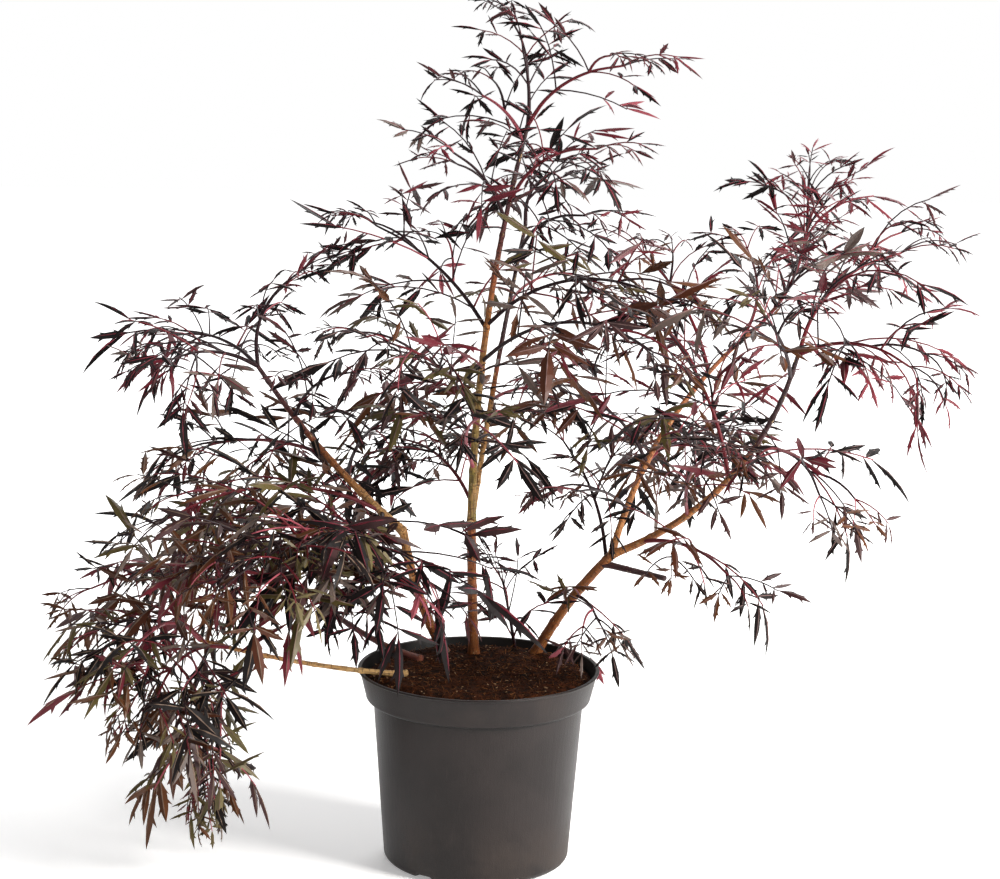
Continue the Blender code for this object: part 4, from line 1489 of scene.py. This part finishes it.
@dataclass(frozen=True)
class Litter:
    """Small bits strewn on the compost, in plain balls or rods.

    density is how many lie on a square metre, smallest and largest are their half sizes, and tilt is the
    most that they lean, in radians.
    """

    name: str
    finish: PlainFinish
    density: float
    smallest: Colour
    largest: Colour
    tilt: float
    rods: bool = False


LITTER = (
    Litter(
        "compost_crumbs",
        PlainFinish("compost_crumb", linear(42, 20, 9), roughness=0.85, shine=0.08),
        60_000.0,
        (0.0005, 0.0004, 0.0003),
        (0.0017, 0.0013, 0.0010),
        0.6,
    ),
    Litter(
        "compost_fibres",
        PlainFinish("compost_fibre", linear(116, 74, 40), roughness=0.8, shine=0.12),
        18_000.0,
        (0.00010, 0.00010, 0.0020),
        (0.00024, 0.00018, 0.0060),
        1.75,
        rods=True,
    ),
    Litter(
        "compost_chips",
        PlainFinish("compost_chip", linear(140, 112, 84), roughness=0.8, shine=0.2),
        3_500.0,
        (0.0006, 0.0003, 0.0002),
        (0.0024, 0.0009, 0.0006),
        0.5,
    ),
)


@dataclass
class Compost:
    """The compost's rough surface, with crumbs, fibres and chips scattered on it by Geometry Nodes."""

    level: float
    edge_drop: float = 0.008
    edge_start: float = 0.088
    edge_curve: float = 1.5
    edge_fade: float = 0.5
    depth: float = 0.150
    radius: float = 0.1058
    foot_radius: float = 0.0935
    rings: int = 70
    segments: int = 200
    relief: float = 0.0016
    lumps: float = 60
    lump_seed: float = 3.0
    lump_fade: float = 0.8
    lump_step: float = 2.1
    lump_layers: int = 4
    rod_sides: int = 5
    bare_rings: int = 3
    first_seed: int = 3

    def height(self, x: float, y: float, radius: float) -> float:
        """The surface's height at a point."""
        slope = max(0.0, (radius - self.edge_start) / (self.radius - self.edge_start))
        place = (x * self.lumps, y * self.lumps, self.lump_seed)
        lumps = noise.fractal(place, self.lump_fade, self.lump_step, self.lump_layers) * self.relief
        sunk = self.edge_drop * slope**self.edge_curve + self.relief / 2
        return self.level - sunk + lumps * (1.0 - self.edge_fade * slope)

    def surface(self) -> Surface:
        """The compost as a closed body with a lumpy top: rings round its middle, the last at its foot."""
        spokes = [(math.cos(angle), math.sin(angle)) for angle in round_angles(self.segments)]
        points = [(0.0, 0.0, self.height(0, 0, 0))]
        for ring in range(1, self.rings + 1):
            radius = self.radius * ring / self.rings
            spots = ((radius * x, radius * y) for x, y in spokes)
            points += [(x, y, self.height(x, y, radius)) for x, y in spots]
        foot = len(points)
        points += [(self.foot_radius * x, self.foot_radius * y, self.depth) for x, y in spokes]
        points.append((0.0, 0.0, self.depth))
        low = np.arange(foot - 1)
        after = low // self.segments * self.segments + (low + 1) % self.segments
        low, after = low + 1, after + 1
        outer, outer_after = low + self.segments, after + self.segments
        walls = np.stack([low, outer, outer_after, low, outer_after, after], 1).reshape(-1, 3)
        fan = np.arange(self.segments)
        first = np.stack([0 * fan, low[fan], after[fan]], 1)
        last = np.stack([0 * fan + foot + self.segments, after[fan] + foot - 1, low[fan] + foot - 1], 1)
        return Surface(np.array(points), np.concatenate([first, walls, last]))

    def strewn(self, ground: bpy.types.Object, litter: Litter, seed: int) -> bpy.types.Object:
        """Scatter one kind of litter by Geometry Nodes and keep it as a plain mesh.

        Args:
            ground: The object whose surface is strewn.
            litter: What is strewn on it.
            seed: The number that the places and sizes are drawn from.

        Returns:
            The new object.
        """
        group = bpy.data.node_groups.new(litter.name, "GeometryNodeTree")
        for way in ("INPUT", "OUTPUT"):
            group.interface.new_socket("Geometry", in_out=way, socket_type="NodeSocketGeometry")
        tree = Tree(group)
        whole = tree.node("NodeGroupInput", {}, {})
        inputs = {"Mesh": whole, "Density": litter.density, "Seed": seed}
        spread = tree.node("GeometryNodeDistributePointsOnFaces", {}, inputs)
        if litter.rods:
            inputs = {"Radius": 1.0, "Depth": 2.0, "Vertices": self.rod_sides}
            shape = tree.node("GeometryNodeMeshCylinder", {}, inputs)
        else:
            shape = tree.node("GeometryNodeMeshIcoSphere", {}, {"Radius": 1.0, "Subdivisions": 1})
        vectors = {"data_type": "FLOAT_VECTOR"}
        inputs = {"Min": litter.smallest, "Max": litter.largest, "Seed": seed}
        size = tree.node("FunctionNodeRandomValue", vectors, inputs)
        most = (litter.tilt, litter.tilt, math.pi)
        inputs = {"Min": tuple(-angle for angle in most), "Max": most}
        turn = tree.node("FunctionNodeRandomValue", vectors, inputs)
        inputs = {"Points": spread, "Instance": shape, "Rotation": turn, "Scale": size}
        bits = tree.node("GeometryNodeInstanceOnPoints", {}, inputs)
        real = tree.node("GeometryNodeRealizeInstances", {}, {"Geometry": bits})
        inputs = {"Geometry": real, "Material": litter.finish.material()}
        painted = tree.node("GeometryNodeSetMaterial", {}, inputs)
        tree.feed(group.nodes.new("NodeGroupOutput").inputs[0], painted)
        modifier = ground.modifiers.new(litter.name, "NODES")
        modifier.node_group = group
        graph = bpy.context.evaluated_depsgraph_get()
        mesh = bpy.data.meshes.new_from_object(ground.evaluated_get(graph))
        ground.modifiers.remove(modifier)
        mesh.name = litter.name
        return shown(litter.name, mesh)

    def build(self) -> None:
        """Build the compost in place of its node, and strew all but its outermost rings."""
        whole = self.surface()
        pieces = [whole.made("compost_body", CompostFinish().material())]
        top = (whole.triangles < 1 + (self.rings - self.bare_rings) * self.segments).all(axis=1)
        guide = bpy.data.materials.new("compost_top_guide")
        ground = Surface(whole.points, whole.triangles[top]).made("compost_top_guide", guide)
        for seed, litter in enumerate(LITTER):
            pieces.append(self.strewn(ground, litter, self.first_seed + seed))
        bpy.data.objects.remove(ground)
        for piece in pieces:
            declare(piece, "compost", "compost")


# Studio


@dataclass
class Studio:
    """The pale floor, the soft light and the camera at the photograph's view."""

    distance: float = 2.5
    eye_height: float = 0.884
    pitch: float = math.radians(10.95)
    yaw: float = math.radians(0.37)
    roll: float = math.radians(1.0)
    lens: float = 100.0
    sensor: float = 36.0
    floor_size: float = 12.0
    floor_glow: Pair = (0.30, 0.80)
    glow_reach: Pair = (0.3, 1.6)
    surround_light: float = 0.36
    surround_seen: float = 1.0
    aim: Colour = (0.0, 0.0, 0.4)

    def camera(self) -> None:
        """Stand the camera in front of the plant, looking slightly down."""
        data = bpy.data.cameras.new("camera")
        data.lens = self.lens
        data.sensor_width = self.sensor
        data.sensor_fit = "HORIZONTAL"
        camera = shown("camera", data)
        turn = Matrix.Rotation(-self.yaw, 4, "Z") @ Matrix.Rotation(math.pi / 2 - self.pitch, 4, "X")
        spot = Matrix.Translation((0.0, -self.distance, self.eye_height))
        camera.matrix_world = spot @ turn @ Matrix.Rotation(self.roll, 4, "Z")
        bpy.context.scene.camera = camera

    def light(self, name: str, spot: Colour, size: float, power: float, colour: Colour) -> None:
        """Hang one square soft light that faces the crown."""
        data = bpy.data.lights.new(name, "AREA")
        data.size = size
        data.energy = power
        data.color = colour
        lamp = shown(name, data)
        lamp.location = spot
        lamp.rotation_euler = (Vector(self.aim) - Vector(spot)).to_track_quat("-Z", "Y").to_euler()

    def floor(self) -> None:
        """Lay a pale matt floor, which glows more and more with the distance from the pot."""
        half = self.floor_size / 2
        points = np.array([(-half, -half, 0), (half, -half, 0), (half, half, 0), (-half, half, 0)], float)
        finish = Finish("studio_floor")
        away = finish.node("ShaderNodeVectorMath", {"operation": "LENGTH"}, {0: finish.place()}, "Value")
        near, far = ((glow, glow, glow) for glow in self.floor_glow)
        material = finish.finished(
            Base_Color=(0.95, 0.95, 0.95),
            Roughness=0.9,
            Specular_IOR_Level=0.1,
            Emission_Color=away.ramped(*self.glow_reach).between(near, far),
            Emission_Strength=1.0,
        )
        Surface(points, np.array([(0, 1, 2), (0, 2, 3)])).made("studio_floor", material)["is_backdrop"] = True

    def surroundings(self) -> None:
        """Make the surroundings white to the camera, and dimmer to everything else."""
        world = bpy.data.worlds.new("studio")
        world.use_nodes = True
        sky = Tree(world.node_tree)
        seen = sky.node("ShaderNodeLightPath", {}, {}, "Is Camera Ray")
        inputs = {"Value": seen, "To Min": self.surround_light, "To Max": self.surround_seen}
        background = world.node_tree.nodes["Background"]
        sky.feed(background.inputs["Strength"], sky.node("ShaderNodeMapRange", {}, inputs))
        sky.feed(background.inputs["Color"], (1.0, 1.0, 1.0))
        bpy.context.scene.world = world
        bpy.context.scene.view_settings.view_transform = "Standard"

    def build(self) -> None:
        """Set up the camera, the floor, the lights and the pale surroundings."""
        self.camera()
        self.floor()
        self.light("key_light", (2.4, -1.3, 1.9), 1.2, 190.0, (1.0, 0.98, 0.95))
        self.light("fill_light", (-2.4, -1.6, 1.4), 2.2, 6.0, (0.95, 0.97, 1.0))
        self.light("card_light", (2.3, -1.25, 0.3), 0.8, 14.0, (1.0, 0.98, 0.96))
        self.light("back_light", (0.4, 2.4, 2.4), 1.8, 45.0, (1.0, 1.0, 1.0))
        self.surroundings()


# How far the plant starts over the compost, and how far its leaves stay from the model's box and the pot
SOIL_GAP = 0.0003
LOW_MARGIN = Vector((0.004, 0.004, 0.012))
HIGH_MARGIN = Vector((0.004, 0.004, 0.004))
POT_MARGIN = 0.004
RIM_MARGIN = 0.002


def main() -> None:
    """Build every piece, in the order in which they stand on each other."""
    logging.basicConfig(level=logging.INFO, format="%(name)s: %(message)s")
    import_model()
    before = [list(corner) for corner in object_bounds()]
    soil_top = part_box("compost")[1].z
    pot_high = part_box("pot")[1]
    Studio().build()
    Pot().build()
    Compost(soil_top).build()
    skeleton = Skeleton(soil_top + SOIL_GAP)
    skeleton.trace_all()
    Bark(skeleton).build(BarkFinish().material())
    low, high = Vector(before[0]) + LOW_MARGIN, Vector(before[1]) - HIGH_MARGIN
    Foliage(skeleton, low, high, pot_high.x + POT_MARGIN, pot_high.z + RIM_MARGIN).build()


if __name__ == "__main__":
    main()
